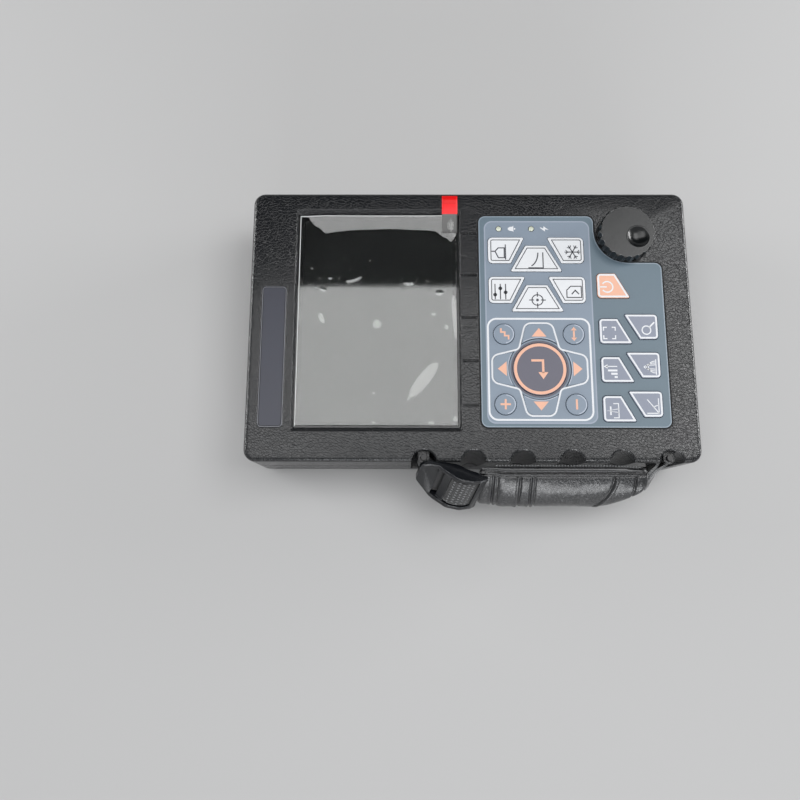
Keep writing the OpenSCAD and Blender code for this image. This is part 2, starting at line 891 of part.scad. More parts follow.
// Six socket-head screws that hold the halves together
module case_screws()
    color(steel)
        for (p = case_places)
            difference() {
                union() {
                    upright(p[0], p[1], case_head_seat - case_head_h, case_head_seat, case_head_r);
                    upright(p[0], p[1], case_head_seat - sliver, split_front + case_screw_bite, case_screw_r);
                }
                translate([p[0], p[1], case_head_seat - case_head_h - overrun])
                    cylinder(r = socket_hex_r, h = case_head_h / 2 + overrun, $fn = hex_sides);
            }

module window_glass()
    color([0.16, 0.18, 0.20, 0.6])
        window_box(0, glass_under, glass_top);

module window_seal()
    color([0.12, 0.12, 0.13])
        difference() {
            window_box(0, ledge_top, glass_under);
            window_box(-ledge_w, ledge_top - overrun, glass_under + overrun);
        }

// Protective film, as it lies on the glass
module screen_film()
    color([0.55, 0.56, 0.58, 0.4])
        window_box(-film_margin, glass_top + film_gap, glass_top + film_gap + film_t);

// Pull tab of the film: under the lifted edge it lies on the film, then it climbs over the window's edge
module film_pull_tab() {
    low = glass_top + film_gap + film_t + film_gap;
    high = body_t + tab_lift;
    x1 = field_x + window_w;
    color([0.85, 0.16, 0.18])
        translate([0, window_bottom + tab_end_gap + tab_w, 0])
            rotate([90, 0, 0])
                linear_extrude(tab_w)
                    polygon([
                        [x1 - tab_inner, low], [x1 - film_margin - tab_t, low],
                        [x1 + window_slope_x, high], [side_x - tab_side_gap, high],
                        [side_x - tab_side_gap, high + tab_t], [x1 + window_slope_x - tab_t, high + tab_t],
                        [x1 - film_margin - 2 * tab_t, low + tab_t], [x1 - tab_inner, low + tab_t]
                    ]);
}

module name_plate()
    color([0.20, 0.21, 0.23])
        at_z(body_t - plate_sink, body_t - plate_sink + plate_t)
            rounded_box(field_x, field_x + plate_w, plate_y - plate_l / 2, plate_y + plate_l / 2, plate_r);

// Printed sheet over the keypad, open round every key
module keypad_overlay()
    color(slate)
        difference() {
            at_z(overlay_floor, overlay_face)
                polygon(overlay_points(0));
            key_cuts(key_gap, overlay_floor - overrun, overlay_face + overrun);
            upright(nav_x, nav_y, overlay_floor - overrun, overlay_face + overrun, enter_key_r + enter_groove);
            lamp_cuts(overlay_floor - overrun, overlay_face + overrun);
        }

module lcd_panel()
    color([0.22, 0.23, 0.25])
        block(window_x - lcd_w / 2, window_x + lcd_w / 2, window_y - lcd_l / 2, window_y + lcd_l / 2,
            lcd_under, lcd_top);

// Sheet tray under the display, screwed to four bosses of the front half
module lcd_bracket()
    color(tin)
        difference() {
            union() {
                block(window_x - lcd_w / 2, window_x + lcd_w / 2, window_y - lcd_l / 2, window_y + lcd_l / 2,
                    bracket_under, lcd_under);
                for (p = lcd_places)
                    block(p[0] - lcd_boss_r, p[0] + lcd_boss_r, min(p[1] - lcd_boss_r, window_y),
                        max(p[1] + lcd_boss_r, window_y), bracket_under, lcd_under);
            }
            block(window_x - lcd_w / 2 + bracket_rim, window_x + lcd_w / 2 - bracket_rim,
                window_y - lcd_l / 2 + bracket_rim, window_y + lcd_l / 2 - bracket_rim,
                bracket_under - overrun, lcd_under + overrun);
            for (p = lcd_places)
                upright(p[0], p[1], bracket_under - overrun, lcd_under + overrun, inner_screw_r + fit);
        }

// One small screw, its head at z and its shank pointing up or down
module inner_screw(p, z, up)
    translate([p[0], p[1], z])
        mirror([0, 0, up ? 0 : 1])
            difference() {
                union() {
                    translate([0, 0, -inner_head_h])
                        cylinder(r = inner_head_r, h = inner_head_h);
                    translate([0, 0, -sliver])
                        cylinder(r = inner_screw_r, h = inner_bite);
                }
                translate([-inner_head_r, -inner_head_h / 5, -inner_head_h - overrun])
                    cube([2 * inner_head_r, inner_head_h * 2 / 5, overrun + inner_head_h / 2]);
            }

module inner_screws()
    color(steel) {
        for (p = lcd_places)
            inner_screw(p, bracket_under, true);
        for (p = keypad_places)
            inner_screw(p, keypad_board_under, true);
        for (p = main_places)
            inner_screw(p, main_board_z + board_t, false);
    }

// Flat cable from the display through the tray to the main board
module lcd_ribbon() {
    y0 = window_y;
    y1 = window_y + ribbon_reach;
    top = lcd_under - ribbon_t;
    low = main_board_z + board_t;
    color([0.80, 0.55, 0.25])
        translate([-ribbon_w / 2, 0, 0])
            rotate([90, 0, 90])
                linear_extrude(ribbon_w)
                    polygon([
                        [y0, top], [y1, top], [y1, low + ribbon_t], [y0, low + ribbon_t],
                        [y0, low], [y1 + ribbon_t, low], [y1 + ribbon_t, lcd_under], [y0, lcd_under]
                    ]);
}

module keypad_board()
    color(board_green)
        difference() {
            at_z(keypad_board_under, keypad_board_top)
                polygon(overlay_points(-keypad_board_inset));
            for (p = keypad_places)
                upright(p[0], p[1], keypad_board_under - overrun, keypad_board_top + overrun,
                    inner_screw_r + fit / 2);
        }

module key_domes()
    color(tin)
        for (p = key_places)
            translate([p[0], p[1], keypad_board_top])
                cylinder(r1 = dome_r, r2 = dome_r / 2, h = dome_h);

module indicator_lamps()
    color([0.75, 0.85, 0.65])
        for (u = lamp_places) {
            upright(overlay_x - lamp_edge_gap, overlay_top - u, keypad_board_top, overlay_face, lamp_r);
            translate([overlay_x - lamp_edge_gap, overlay_top - u, overlay_face])
                cylinder(r1 = lamp_r, r2 = lamp_r / 2, h = fit);
        }

module menu_key(row, side)
    color(key_white)
        key_solid(menu_place(row, side))
            menu_outline(row, side);

module function_key(row, side)
    color(key_grey)
        key_solid(function_place(row, side))
            function_outline(row, side);

module arrow_key(turn)
    color(key_grey)
        difference() {
            key_solid(arrow_place(turn))
                arrow_outline(turn);
            upright(nav_x, nav_y, flange_top, key_top + overrun, arrow_arc_r);
            upright(nav_x, nav_y, flange_under - overrun, flange_top + sliver, arrow_arc_r - flange_w);
        }

module corner_key(sx, sy)
    color(key_grey)
        round_key(corner_place(sx, sy), corner_key_r);

module menu_key_1() menu_key(0, 1);
module menu_key_2() menu_key(0, 0);
module menu_key_3() menu_key(0, -1);
module menu_key_4() menu_key(1, 1);
module menu_key_5() menu_key(1, 0);
module menu_key_6() menu_key(1, -1);
module power_key()
    color(key_orange)
        key_solid(function_place(-1, -1))
            function_outline(-1, -1);
module function_key_1() function_key(2, -1);
module function_key_2() function_key(2, 1);
module function_key_3() function_key(1, -1);
module function_key_4() function_key(1, 1);
module function_key_5() function_key(0, -1);
module function_key_6() function_key(0, 1);
module arrow_key_right() arrow_key(0);
module arrow_key_up() arrow_key(90);
module arrow_key_left() arrow_key(180);
module arrow_key_down() arrow_key(270);
module enter_key()
    color(disc_grey)
        round_key([nav_x, nav_y], enter_key_r);
module corner_key_1() corner_key(1, 1);
module corner_key_2() corner_key(1, -1);
module corner_key_3() corner_key(-1, 1);
module corner_key_4() corner_key(-1, -1);

// Knob: flutes round the edge, a finger dimple off its centre, and room for the encoder's nut below
module knob()
    color([0.30, 0.31, 0.32])
        translate([knob_x, knob_y, knob_bottom])
            difference() {
                rotate_extrude()
                    polygon([
                        [0, 0], [knob_r, 0], [knob_r, knob_h - knob_edge], [knob_r - knob_edge, knob_h], [0, knob_h]
                    ]);
                for (i = [0:knob_flutes - 1])
                    rotate(360 * i / knob_flutes)
                        translate([knob_r + flute_out, 0, -overrun])
                            cylinder(r = flute_r, h = knob_h + 2 * overrun);
                translate([dimple_dx, dimple_dy, knob_h + dimple_ball_r - dimple_d])
                    sphere(r = dimple_ball_r);
                translate([0, 0, -overrun])
                    cylinder(r = nut_room_r, h = nut_room_h + overrun);
                translate([0, 0, -overrun])
                    cylinder(r = shaft_r + slack, h = shaft_up + overrun);
            }

module encoder_shaft()
    color(steel)
        upright(knob_x, knob_y, face_under - encoder_t / 2, knob_bottom + shaft_up, shaft_r);

// Encoder: case under the face wall, bush through it and nut on top
module encoder_body()
    color([0.35, 0.36, 0.38])
        difference() {
            union() {
                block(knob_x - encoder_size / 2, knob_x + encoder_size / 2, knob_y - encoder_size / 2,
                    knob_y + encoder_size / 2, face_under - encoder_t, face_under);
                upright(knob_x, knob_y, face_under - sliver, body_t + bush_up, bush_r);
                translate([knob_x, knob_y, body_t])
                    cylinder(r = nut_r, h = nut_h, $fn = hex_sides);
            }
            upright(knob_x, knob_y, face_under - encoder_t / 2, body_t + bush_up + overrun, shaft_r + slack);
        }

module main_board()
    color(board_green)
        difference() {
            block(-main_board_w / 2, main_board_w / 2, main_board_y - main_board_l / 2,
                main_board_y + main_board_l / 2, main_board_z, main_board_z + board_t);
            for (p = main_places)
                upright(p[0], p[1], main_board_z - overrun, main_board_z + board_t + overrun,
                    inner_screw_r + fit / 2);
        }

// Chips and the alarm sounder on the main board. A chip's place and its size are shares of the board's
// width and length, and its height is a share of the tallest chip's
chip_h = 4;
chip_shares = [
    [[-0.39, -0.28], [0.11, 0.14], 0.35], [[-0.27, -0.32], [0.06, 0.14], 0.3],
    [[-0.38, 0.04], [0.15, 0.12], 0.55], [[0.33, -0.30], [0.09, 0.08], 0.8],
    [[0.38, 0.20], [0.06, 0.18], 1], [[-0.23, 0.30], [0.12, 0.10], 0.4]
];
sounder_shares = [0.35, -0.08];
module board_chips()
    color(chip_black) {
        for (c = chip_shares) {
            x = main_board_w * (c[0][0] - c[1][0] / 2);
            y = main_board_y + main_board_l * (c[0][1] - c[1][1] / 2);
            translate([x, y, main_board_z + board_t])
                cube([main_board_w * c[1][0], main_board_l * c[1][1], chip_h * c[2]]);
        }
        upright(main_board_w * sounder_shares[0], main_board_y + main_board_l * sounder_shares[1],
            main_board_z + board_t, main_board_z + board_t + sounder_h, sounder_r);
    }

module shield_can()
    color(tin)
        translate([0, min(window_y, main_board_y) - can_gap, main_board_z + board_t])
            difference() {
                translate([-can_w / 2, -can_l, 0])
                    cube([can_w, can_l, can_h]);
                translate([can_wall - can_w / 2, can_wall - can_l, -overrun])
                    cube([can_w - 2 * can_wall, can_l - 2 * can_wall, can_h - can_wall + overrun]);
            }

module battery_pack()
    color([0.16, 0.20, 0.34])
        block(-battery_w / 2, battery_w / 2, battery_y0, battery_y1, battery_z, battery_z + battery_t);

module battery_contacts()
    color([0.85, 0.70, 0.35])
        for (i = [0:contact_count - 1]) {
            x = (i - (contact_count - 1) / 2) * contact_pitch;
            block(x - contact_w / 2, x + contact_w / 2, battery_y1 + contact_gap - contact_t,
                battery_y1 + contact_gap, battery_z + contact_h / 2, battery_z + contact_h * 3 / 2);
        }

module battery_cover()
    color(case_black)
        difference() {
            at_z(cover_sink, cover_seat)
                rounded_box(-bay_half - cover_rim_x, bay_half + cover_rim_x, battery_y0 - cover_rim_y0,
                    battery_y1 + cover_rim_y1, cover_r);
            for (p = cover_places) {
                upright(p[0], p[1], 0, cover_seat + overrun, cover_screw_r + fit);
                upright(p[0], p[1], 0, cover_sink + cover_head_h, cover_head_r + fit);
            }
        }

// Two coin screws that hold the battery cover
module cover_screws()
    color(steel)
        for (p = cover_places)
            difference() {
                union() {
                    upright(p[0], p[1], cover_sink, cover_sink + cover_head_h, cover_head_r);
                    upright(p[0], p[1], cover_sink, cover_seat + cover_screw_l - overrun, cover_screw_r);
                }
                block(p[0] - cover_head_r, p[0] + cover_head_r, p[1] - coin_slot_w / 2, p[1] + coin_slot_w / 2,
                    0, cover_sink + coin_slot_d);
            }

// Socket places along the recess
socket_x = -recess_w / 2 + socket_first_gap;
socket_places = [socket_x, socket_x + socket_pitch];
jack_x = recess_w / 2 - port_gap;
usb_x = jack_x - port_pitch;
plate_face = end_y - recess_d;

module socket_plate()
    color([0.24, 0.25, 0.26])
        difference() {
            block(-recess_w / 2 - liner_t, recess_w / 2 + liner_t, plate_face - socket_plate_t, plate_face,
                recess_z0 - liner_t, recess_z1 + liner_t);
            for (x = socket_places)
                along_y(x, plate_face - socket_plate_t - overrun, plate_face + overrun, socket_z,
                    rear_stem_r + slack);
            along_y(jack_x, plate_face - socket_plate_t - overrun, plate_face + overrun, socket_z,
                jack_hole_r + slack);
        }

// Two coaxial probe sockets with bayonet lugs
module probe_sockets()
    color(steel)
        for (x = socket_places)
            difference() {
                union() {
                    translate([x, plate_face, socket_z])
                        rotate([-90, 0, 0])
                            cylinder(r = socket_flange_r, h = socket_flange_t, $fn = hex_sides);
                    along_y(x, plate_face, plate_face + socket_l, socket_z, socket_r);
                    along_y(x, plate_face - socket_plate_t - rear_stem_l, plate_face + sliver, socket_z,
                        rear_stem_r);
                    translate([x - socket_r - lug_out, plate_face + socket_l - lug_back, socket_z])
                        rotate([0, 90, 0])
                            cylinder(r = lug_r, h = 2 * (socket_r + lug_out));
                }
                along_y(x, plate_face + socket_l - socket_bore_d, plate_face + socket_l + overrun, socket_z,
                    socket_bore_r);
            }

module socket_inserts()
    color([0.93, 0.93, 0.90])
        for (x = socket_places)
            difference() {
                along_y(x, plate_face + socket_l - socket_bore_d, plate_face + socket_l - socket_bore_d + insert_l,
                    socket_z, insert_r);
                along_y(x, plate_face + socket_l - socket_bore_d + insert_l / 2, plate_face + socket_l,
                    socket_z, contact_hole_r);
            }

// Charging jack and data port on the socket plate
module signal_ports()
    color(chip_black) {
        difference() {
            union() {
                along_y(jack_x, plate_face, plate_face + jack_l, socket_z, jack_r);
                along_y(jack_x, plate_face - socket_plate_t - rear_stem_l, plate_face + sliver, socket_z,
                    jack_hole_r);
            }
            along_y(jack_x, plate_face + sliver, plate_face + jack_l + overrun, socket_z, jack_hole_r);
        }
        along_y(jack_x, plate_face, plate_face + jack_l - overrun, socket_z, jack_pin_r);
        difference() {
            block(usb_x - usb_w / 2, usb_x + usb_w / 2, plate_face, plate_face + usb_l,
                socket_z - usb_h / 2, socket_z + usb_h / 2);
            block(usb_x - usb_slot_w / 2, usb_x + usb_slot_w / 2, plate_face + sliver,
                plate_face + usb_l + overrun, socket_z - usb_slot_h / 2, socket_z + usb_slot_h / 2);
        }
    }

// Tilt stand: a plate with a barrel along its hinge
module tilt_stand()
    color(case_black)
        difference() {
            union() {
                at_z(stand_sink, stand_sink + stand_t)
                    rounded_box(-stand_w / 2, stand_w / 2, stand_hinge_y - stand_l, stand_hinge_y, stand_t / 2);
                translate([-stand_w / 2, stand_hinge_y, stand_z])
                    rotate([0, 90, 0])
                        cylinder(r = stand_t / 2, h = stand_w);
            }
            block(-stand_w / 2 - overrun, stand_w / 2 + overrun, stand_hinge_y, stand_hinge_y + stand_t,
                -overrun, -sliver);
            at_z(0, stand_sink + stand_rib_d)
                rounded_box(stand_rib_w - stand_w / 2, stand_w / 2 - stand_rib_w,
                    stand_hinge_y - stand_l + 2 * stand_rib_w, stand_hinge_y - stand_rib_w, stand_r);
            translate([-stand_w / 2 - overrun, stand_hinge_y, stand_z])
                rotate([0, 90, 0])
                    cylinder(r = stand_pin_r + slack, h = stand_w + 2 * overrun);
        }

module stand_pin()
    color(steel)
        translate([-stand_w / 2 - stand_fit - stand_pin_grip + slack, stand_hinge_y, stand_z])
            rotate([0, 90, 0])
                cylinder(r = stand_pin_r, h = stand_w + 2 * (stand_fit + stand_pin_grip - slack));

module strap_anchor_pins()
    color(steel)
        for (i = [0, scoop_count - 1])
            upright(anchor_x, scoop_y(i), anchor_floor - pin_sunk, pin_top, anchor_pin_r);

// Frame of the strap: x is the depth towards the body, z the width
module strap_frame()
    translate([pad_x, 0, pad_z])
        rotate([0, strap_lean, 0])
            children();

// Padded part of the strap: a crowned cushion with sewn channels across it and one along its top edge
pad_rings = 44;
pad_round = 26;
pad_taper_l = 26;
pad_tip_share = 0.45;
pad_nose_l = 5;
pad_nose_share = 0.3;
pad_crown_power = 0.8;
pad_edge_power = 0.75;
seam_depth_share = 0.30;
seam_width = 1.3;
seam_shares = [0.29, 0.345, 0.37, 0.80, 0.935];
edge_seam_angle = 48;
edge_seam_spread = 9;
function ease(t) = let(c = max(0, min(1, t))) c * c * (3 - 2 * c);
function bulge(c, power) = (c < 0 ? -1 : 1) * pow(abs(c), power);
// Half width of the pad, and how far its middle moves up, at a distance s from its upper end
function pad_cut(s) = ease((s - pad_l + pad_taper_l) / pad_taper_l) * (1 - pad_tip_share);
function nose(s) = sqrt(max(pad_nose_share, 1 - pow(max(0, 1 - min(s, pad_l - s) / pad_nose_l), 2)));
function seam(s, places) = max([for (p = places) exp(-pow((s - p * pad_l) / seam_width, 2))]);
function pad_thick(s, a) =
    (1 - seam_depth_share * seam(s, seam_shares)) *
    (1 - seam_depth_share * exp(-pow((a - edge_seam_angle) / edge_seam_spread, 2)));
function pad_point(s, a) =
    let(half = pad_w / 2 * (1 - pad_cut(s)) * nose(s))
    let(middle = pad_w / 2 * pad_cut(s))
    let(depth = pad_t * nose(s) * (sin(a) > 0 ? pad_crown_share : 1 - pad_crown_share))
    [-depth * bulge(sin(a), pad_crown_power) * (sin(a) > 0 ? pad_thick(s, a) : 1), pad_y1 - s,
        middle + half * bulge(cos(a), pad_edge_power)];
module strap_pad()
    color(strap_black)
        strap_frame()
            tube_solid([
                for (i = [0:pad_rings])
                    let(s = pad_l * i / pad_rings)
                    [for (j = [0:pad_round - 1]) pad_point(s, 360 * j / pad_round)]
            ]);

// A closed solid through rings of equally many points
module tube_solid(rings) {
    n = len(rings[0]);
    m = len(rings);
    polyhedron(
        points = [for (ring = rings) each ring],
        faces = concat(
            [[for (j = [0:n - 1]) j]],
            [for (i = [0:m - 2], j = [0:n - 1]) [i * n + j, (i + 1) * n + j, (i + 1) * n + (j + 1) % n]],
            [for (i = [0:m - 2], j = [0:n - 1]) [i * n + j, (i + 1) * n + (j + 1) % n, i * n + (j + 1) % n]],
            [[for (j = [n - 1:-1:0]) (m - 1) * n + j]]),
        convexity = 4);
}

// Buckle: two side rails with a swept outline, joined by a tongue and two bars
buckle_y = pad_y1 + buckle_over;
rail_under = -2.2;
rail_hump = -1.9;
rail_seat = pad_t * pad_crown_share + 0.5;
rail_low = 0.4;
rail_high = 10.4;
rail_end = 8.8;
rail_shoulder = 9.6;
rail_dip = 3.5;
rail_tip_r = 1.1;
rail_end_r = 1.6;
rail_bend_r = 3;
rail_soft_r = 6;
rail_dip_r = 8;
// A rail's outline: places along the buckle, as shares of its length, and depths out from the pad's middle
rail_place_shares = [0, 0.30, 0.36, 0.54, 0.76, 1, 1, 0.86, 0.62, 0.42, 0.33, 0];
rail_depths = [
    rail_under, rail_under, rail_hump, rail_hump, rail_seat, rail_seat,
    rail_end, rail_high, rail_shoulder, rail_dip, rail_low, rail_low
];
rail_radii = [
    rail_tip_r, rail_bend_r, rail_end_r, rail_bend_r, rail_soft_r, rail_end_r,
    rail_end_r, rail_soft_r, rail_soft_r, rail_dip_r, rail_bend_r, rail_tip_r
];
rail_points = [
    for (i = [0:len(rail_depths) - 1]) [-rail_depths[i], buckle_y - rail_place_shares[i] * buckle_l]
];
module buckle_bar(share0, share1, n0, n1, r) {
    y1 = buckle_y - share0 * buckle_l;
    y0 = buckle_y - share1 * buckle_l;
    at_z(-buckle_w_bottom, buckle_w_top)
        rounded_box(-n1, -n0, y0, y1, r);
}
tongue_share = 0.31;
bar_shares = [0.40, 0.51];
end_bar_share = 0.88;
bar_t = 2.6;
bar_r = 1;
module strap_buckle()
    color(strap_black)
        strap_frame()
            translate([0, buckle_y - buckle_l / 2, 0])
                rotate([buckle_turn, 0, 0])
                    translate([0, buckle_l / 2 - buckle_y, 0]) {
                        for (z = [-buckle_w_bottom, buckle_w_top - rail_t])
                            at_z(z, z + rail_t)
                                polygon(rounded(rail_points, rail_radii));
                        buckle_bar(0, tongue_share, rail_under, rail_low, bar_r);
                        buckle_bar(bar_shares[0], bar_shares[1], rail_low, rail_low + bar_t, bar_r);
                        buckle_bar(end_bar_share, 1, rail_seat, rail_end, bar_r);
                    }

// Webbing: a doubled band from the pad round an anchor pin, turned from the strap's lean to upright
loop_r = anchor_pin_r + web_gap + web_t / 2;
web_pair_gap = web_t / 2 + web_gap / 2;
web_turns = 10;
web_steps = 6;
pad_end_gap = 0.35;
function mix(a, b, t) = a + (b - a) * t;
// One cross-section of a band, moved sideways by shift from a place on the middle of the pair
function web_ring(place, angle, lean, shift) =
    let(up = [sin(lean), 0, cos(lean)])
    let(across = cross([cos(angle), sin(angle), 0], up))
    let(side = across / norm(across))
    [for (c = [[-1, -1], [-1, 1], [1, 1], [1, -1]])
        place + side * (shift + c[0] * web_t / 2) + up * (c[1] * web_w / 2)];
function angle_of(v) = atan2(v[1], v[0]);
// Rings from the pad by a knee to the pin, round it and back; dir is +1 where the pin lies towards +Y
function web_rings(far, knee, pin, dir) =
    let(l0 = norm(knee - far), l1 = norm(pin - knee))
    let(a0 = angle_of(knee - far), a1 = angle_of(pin - knee), knee_at = l0 / (l0 + l1))
    let(go = [for (i = [0:2 * web_steps])
        let(first = i <= web_steps, u = first ? i / web_steps : i / web_steps - 1)
        let(t = first ? knee_at * u : mix(knee_at, 1, u), blend = ease(t))
        let(place = first ? mix(far, knee, u) : mix(knee, pin, u))
        let(angle = i == 0 ? dir * 90 : i < web_steps ? a0 : i == web_steps ? (a0 + a1) / 2 : a1)
        [concat(place, mix(pad_z, web_z, blend)), angle, mix(strap_lean, 0, blend),
            first ? web_pair_gap : mix(web_pair_gap, loop_r, u)]])
    let(turn = [for (i = [1:web_turns - 1])
        [concat(pin, web_z), a1 + 180 * i / web_turns, 0, loop_r]])
    let(back = [for (i = [2 * web_steps:-1:0]) [go[i][0], go[i][1] + 180, go[i][2], go[i][3]]])
    [for (r = concat(go, turn, back)) web_ring(r[0], r[1], r[2], r[3])];

// The lower web runs straight to its pin; the upper one bends round the mouth of its scoop
web_knee_out = 3.8;
web_knee_in = 0.3;
lower_pin = [anchor_x, scoop_y(0)];
lower_far = [pad_x, pad_y0 - pad_end_gap];
upper_pin = [anchor_x, scoop_y(scoop_count - 1)];
upper_far = [pad_x, pad_y1 + pad_end_gap];
upper_knee = [-side_x - web_knee_out, upper_pin[1] - scoop_r - web_knee_in];
module strap_web_lower()
    color(strap_black)
        tube_solid(web_rings(lower_far, (lower_far + lower_pin) / 2, lower_pin, -1));

module strap_web_upper()
    color(strap_black)
        tube_solid(web_rings(upper_far, upper_knee, upper_pin, 1));

front_housing();
rear_housing();
housing_seal();
case_screws();
window_glass();
window_seal();
screen_film();
film_pull_tab();
name_plate();
keypad_overlay();
lcd_panel();
lcd_bracket();
inner_screws();
lcd_ribbon();
keypad_board();
key_domes();
indicator_lamps();
menu_key_1();
menu_key_2();
menu_key_3();
menu_key_4();
menu_key_5();
menu_key_6();
power_key();
function_key_1();
function_key_2();
function_key_3();
function_key_4();
function_key_5();
function_key_6();
arrow_key_up();
arrow_key_down();
arrow_key_left();
arrow_key_right();
enter_key();
corner_key_1();
corner_key_2();
corner_key_3();
corner_key_4();
knob();
encoder_shaft();
encoder_body();
main_board();
board_chips();
shield_can();
battery_pack();
battery_contacts();
battery_cover();
cover_screws();
socket_plate();
probe_sockets();
socket_inserts();
signal_ports();
tilt_stand();
stand_pin();
strap_anchor_pins();
strap_pad();
strap_buckle();
strap_web_upper();
strap_web_lower();
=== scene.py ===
"""Looks of a hand-held ultrasonic flaw detector: grained black case, window with a film, printed keypad,
fluted knob and padded leather hand strap with its buckle and webbing. The tables are in millimetres."""
import math
import bmesh
import bpy
from mathutils import Matrix, Vector, noise


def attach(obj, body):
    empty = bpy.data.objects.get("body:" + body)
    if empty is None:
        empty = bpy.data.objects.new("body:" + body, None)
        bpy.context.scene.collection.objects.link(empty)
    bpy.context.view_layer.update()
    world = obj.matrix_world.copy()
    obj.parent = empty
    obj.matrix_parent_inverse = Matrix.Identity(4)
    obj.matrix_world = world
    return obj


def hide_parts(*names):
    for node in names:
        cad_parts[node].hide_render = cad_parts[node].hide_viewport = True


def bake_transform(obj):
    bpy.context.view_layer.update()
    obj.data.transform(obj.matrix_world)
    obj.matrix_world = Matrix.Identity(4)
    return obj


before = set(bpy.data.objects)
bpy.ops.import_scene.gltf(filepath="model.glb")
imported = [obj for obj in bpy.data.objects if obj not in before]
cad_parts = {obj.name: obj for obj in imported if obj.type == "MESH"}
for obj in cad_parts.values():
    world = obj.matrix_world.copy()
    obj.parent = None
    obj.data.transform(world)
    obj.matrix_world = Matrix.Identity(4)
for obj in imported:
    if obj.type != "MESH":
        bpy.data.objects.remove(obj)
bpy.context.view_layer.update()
scene = bpy.context.scene
MM = 0.001
BODY = "instrument"
STRAP_BODY = "hand_strap"

# Camera: the photograph's place and view, in metres
PICTURE_SIDE = 800
FOCAL_LENGTH = 700
SENSOR_WIDTH = 36.0
EYE = Vector((-0.12115, 0.03827, 0.45047))
EYE_BACK = Vector((-0.18354, -0.00772, 0.98298))
EYE_UP = Vector((0.98301, 0.00253, 0.18356))


def set_camera():
    data = bpy.data.cameras.new("camera")
    data.sensor_width = SENSOR_WIDTH
    data.lens = FOCAL_LENGTH / PICTURE_SIDE * SENSOR_WIDTH
    data.clip_start = 0.01
    camera = bpy.data.objects.new("camera", data)
    scene.collection.objects.link(camera)
    back = EYE_BACK.normalized()
    right = EYE_UP.cross(back).normalized()
    turned = Matrix((right, back.cross(right), back)).transposed().to_4x4()
    turned.translation = EYE
    camera.matrix_world = turned
    scene.camera = camera
    scene.view_settings.view_transform = "Standard"


set_camera()


# Places of the keypad, the window and the strap on the instrument
KEY_TOP = 52.8
SHEET_TOP = 52.2
FACE_TOP = 52.0
GLASS_TOP = 49.5
PLATE_TOP = 51.8
SHEET_RIGHT = 67.0
SHEET_LOW = -114.7
FIELD_LEFT = -62.6
MENU_Y = -39.9
MENU_TOPS = (53.05, 28.15)
MENU_HEIGHT = 16.25
MENU_DROP = 5.2
FUNCTION_TOPS = (-44.1, -20.95, 2.2)
POWER_TOP = 30.2
FUNCTION_HEIGHT = 15.1
FUNCTION_LEFT_Y = -75.7
FUNCTION_RIGHT_Y = -110.0
FUNCTION_SHIFT = 2.7
NAV = (-28.2, -40.1)
KNOB = (53.6, -93.2)
STRAP_ORIGIN = Vector((-96.43, 0, 33.5))
STRAP_LEAN = math.radians(34.5)
PAD_TOP_Y = -4.1
PAD_LENGTH = 98.0
INK_THICK = 0.03
SMALLEST_BEND = 0.12


# Small node helpers
def new_group(kind, name, inputs, outputs):
    """An empty node group, with the sockets that it is given and the ones that it fills."""
    tree = bpy.data.node_groups.new(name, kind + "NodeTree")
    for way, sockets in (("INPUT", inputs), ("OUTPUT", outputs)):
        for title, sort, *value in sockets:
            socket = tree.interface.new_socket(title, in_out=way, socket_type="NodeSocket" + sort)
            if value:
                socket.default_value = value[0]
    return tree, tree.nodes.new("NodeGroupInput").outputs, tree.nodes.new("NodeGroupOutput").inputs


def give(tree, socket, value):
    """Links a socket to another one, or sets its value."""
    if isinstance(value, bpy.types.NodeSocket):
        tree.links.new(value, socket)
    else:
        socket.default_value = value


def node(tree, kind, links=None, **settings):
    """A node with its settings, and its inputs linked or set."""
    made = tree.nodes.new(kind)
    for key, value in settings.items():
        setattr(made, key, value)
    for key, value in (links or {}).items():
        give(tree, made.inputs[key], value)
    return made


def maths(tree, operation, *values):
    return node(tree, "ShaderNodeMath", dict(enumerate(values)), operation=operation).outputs[0]


def vectors(tree, operation, *values, out=0):
    return node(tree, "ShaderNodeVectorMath", dict(enumerate(values)), operation=operation).outputs[out]


def clouds(tree, place, scale, detail, out="Fac", **more):
    """A noise texture's value or colour."""
    links = {"Vector": place, "Scale": scale, "Detail": detail, **more}
    return node(tree, "ShaderNodeTexNoise", links).outputs[out]


def stepped(tree, value, low, high, out_low=0.0, out_high=1.0):
    """A value taken softly from one range to another."""
    return node(tree, "ShaderNodeMapRange", {0: value, 1: low, 2: high, 3: out_low, 4: out_high},
                interpolation_type="SMOOTHSTEP").outputs[0]


def mixed(tree, factor, a, b):
    return node(tree, "ShaderNodeMix", {0: factor, 6: a, 7: b}, data_type="RGBA").outputs[2]


def mixed_shaders(tree, factor, a, b, socket):
    """Fills a socket with a mix of two shaders."""
    both = node(tree, "ShaderNodeMixShader", {0: factor, 1: a.outputs[0], 2: b.outputs[0]})
    tree.links.new(both.outputs[0], socket)


def rgba(colour):
    return (*colour, 1.0)


# Effects shared by the materials
WARPS_PER_CELL, WARP_REACH, FINE_PER_CELL = 0.45, 0.6, 3.1
ROUGHNESS_SHARE = 0.8
EDGE_BREAKUP_SCALE = 420.0
PANEL_CENTRE, PANEL_HALF, PANEL_R = (0.0017, -0.0408, 0), (0.0621, 0.0318), 0.0048
PRINT_GRAIN = (1700.0, 0.000012)


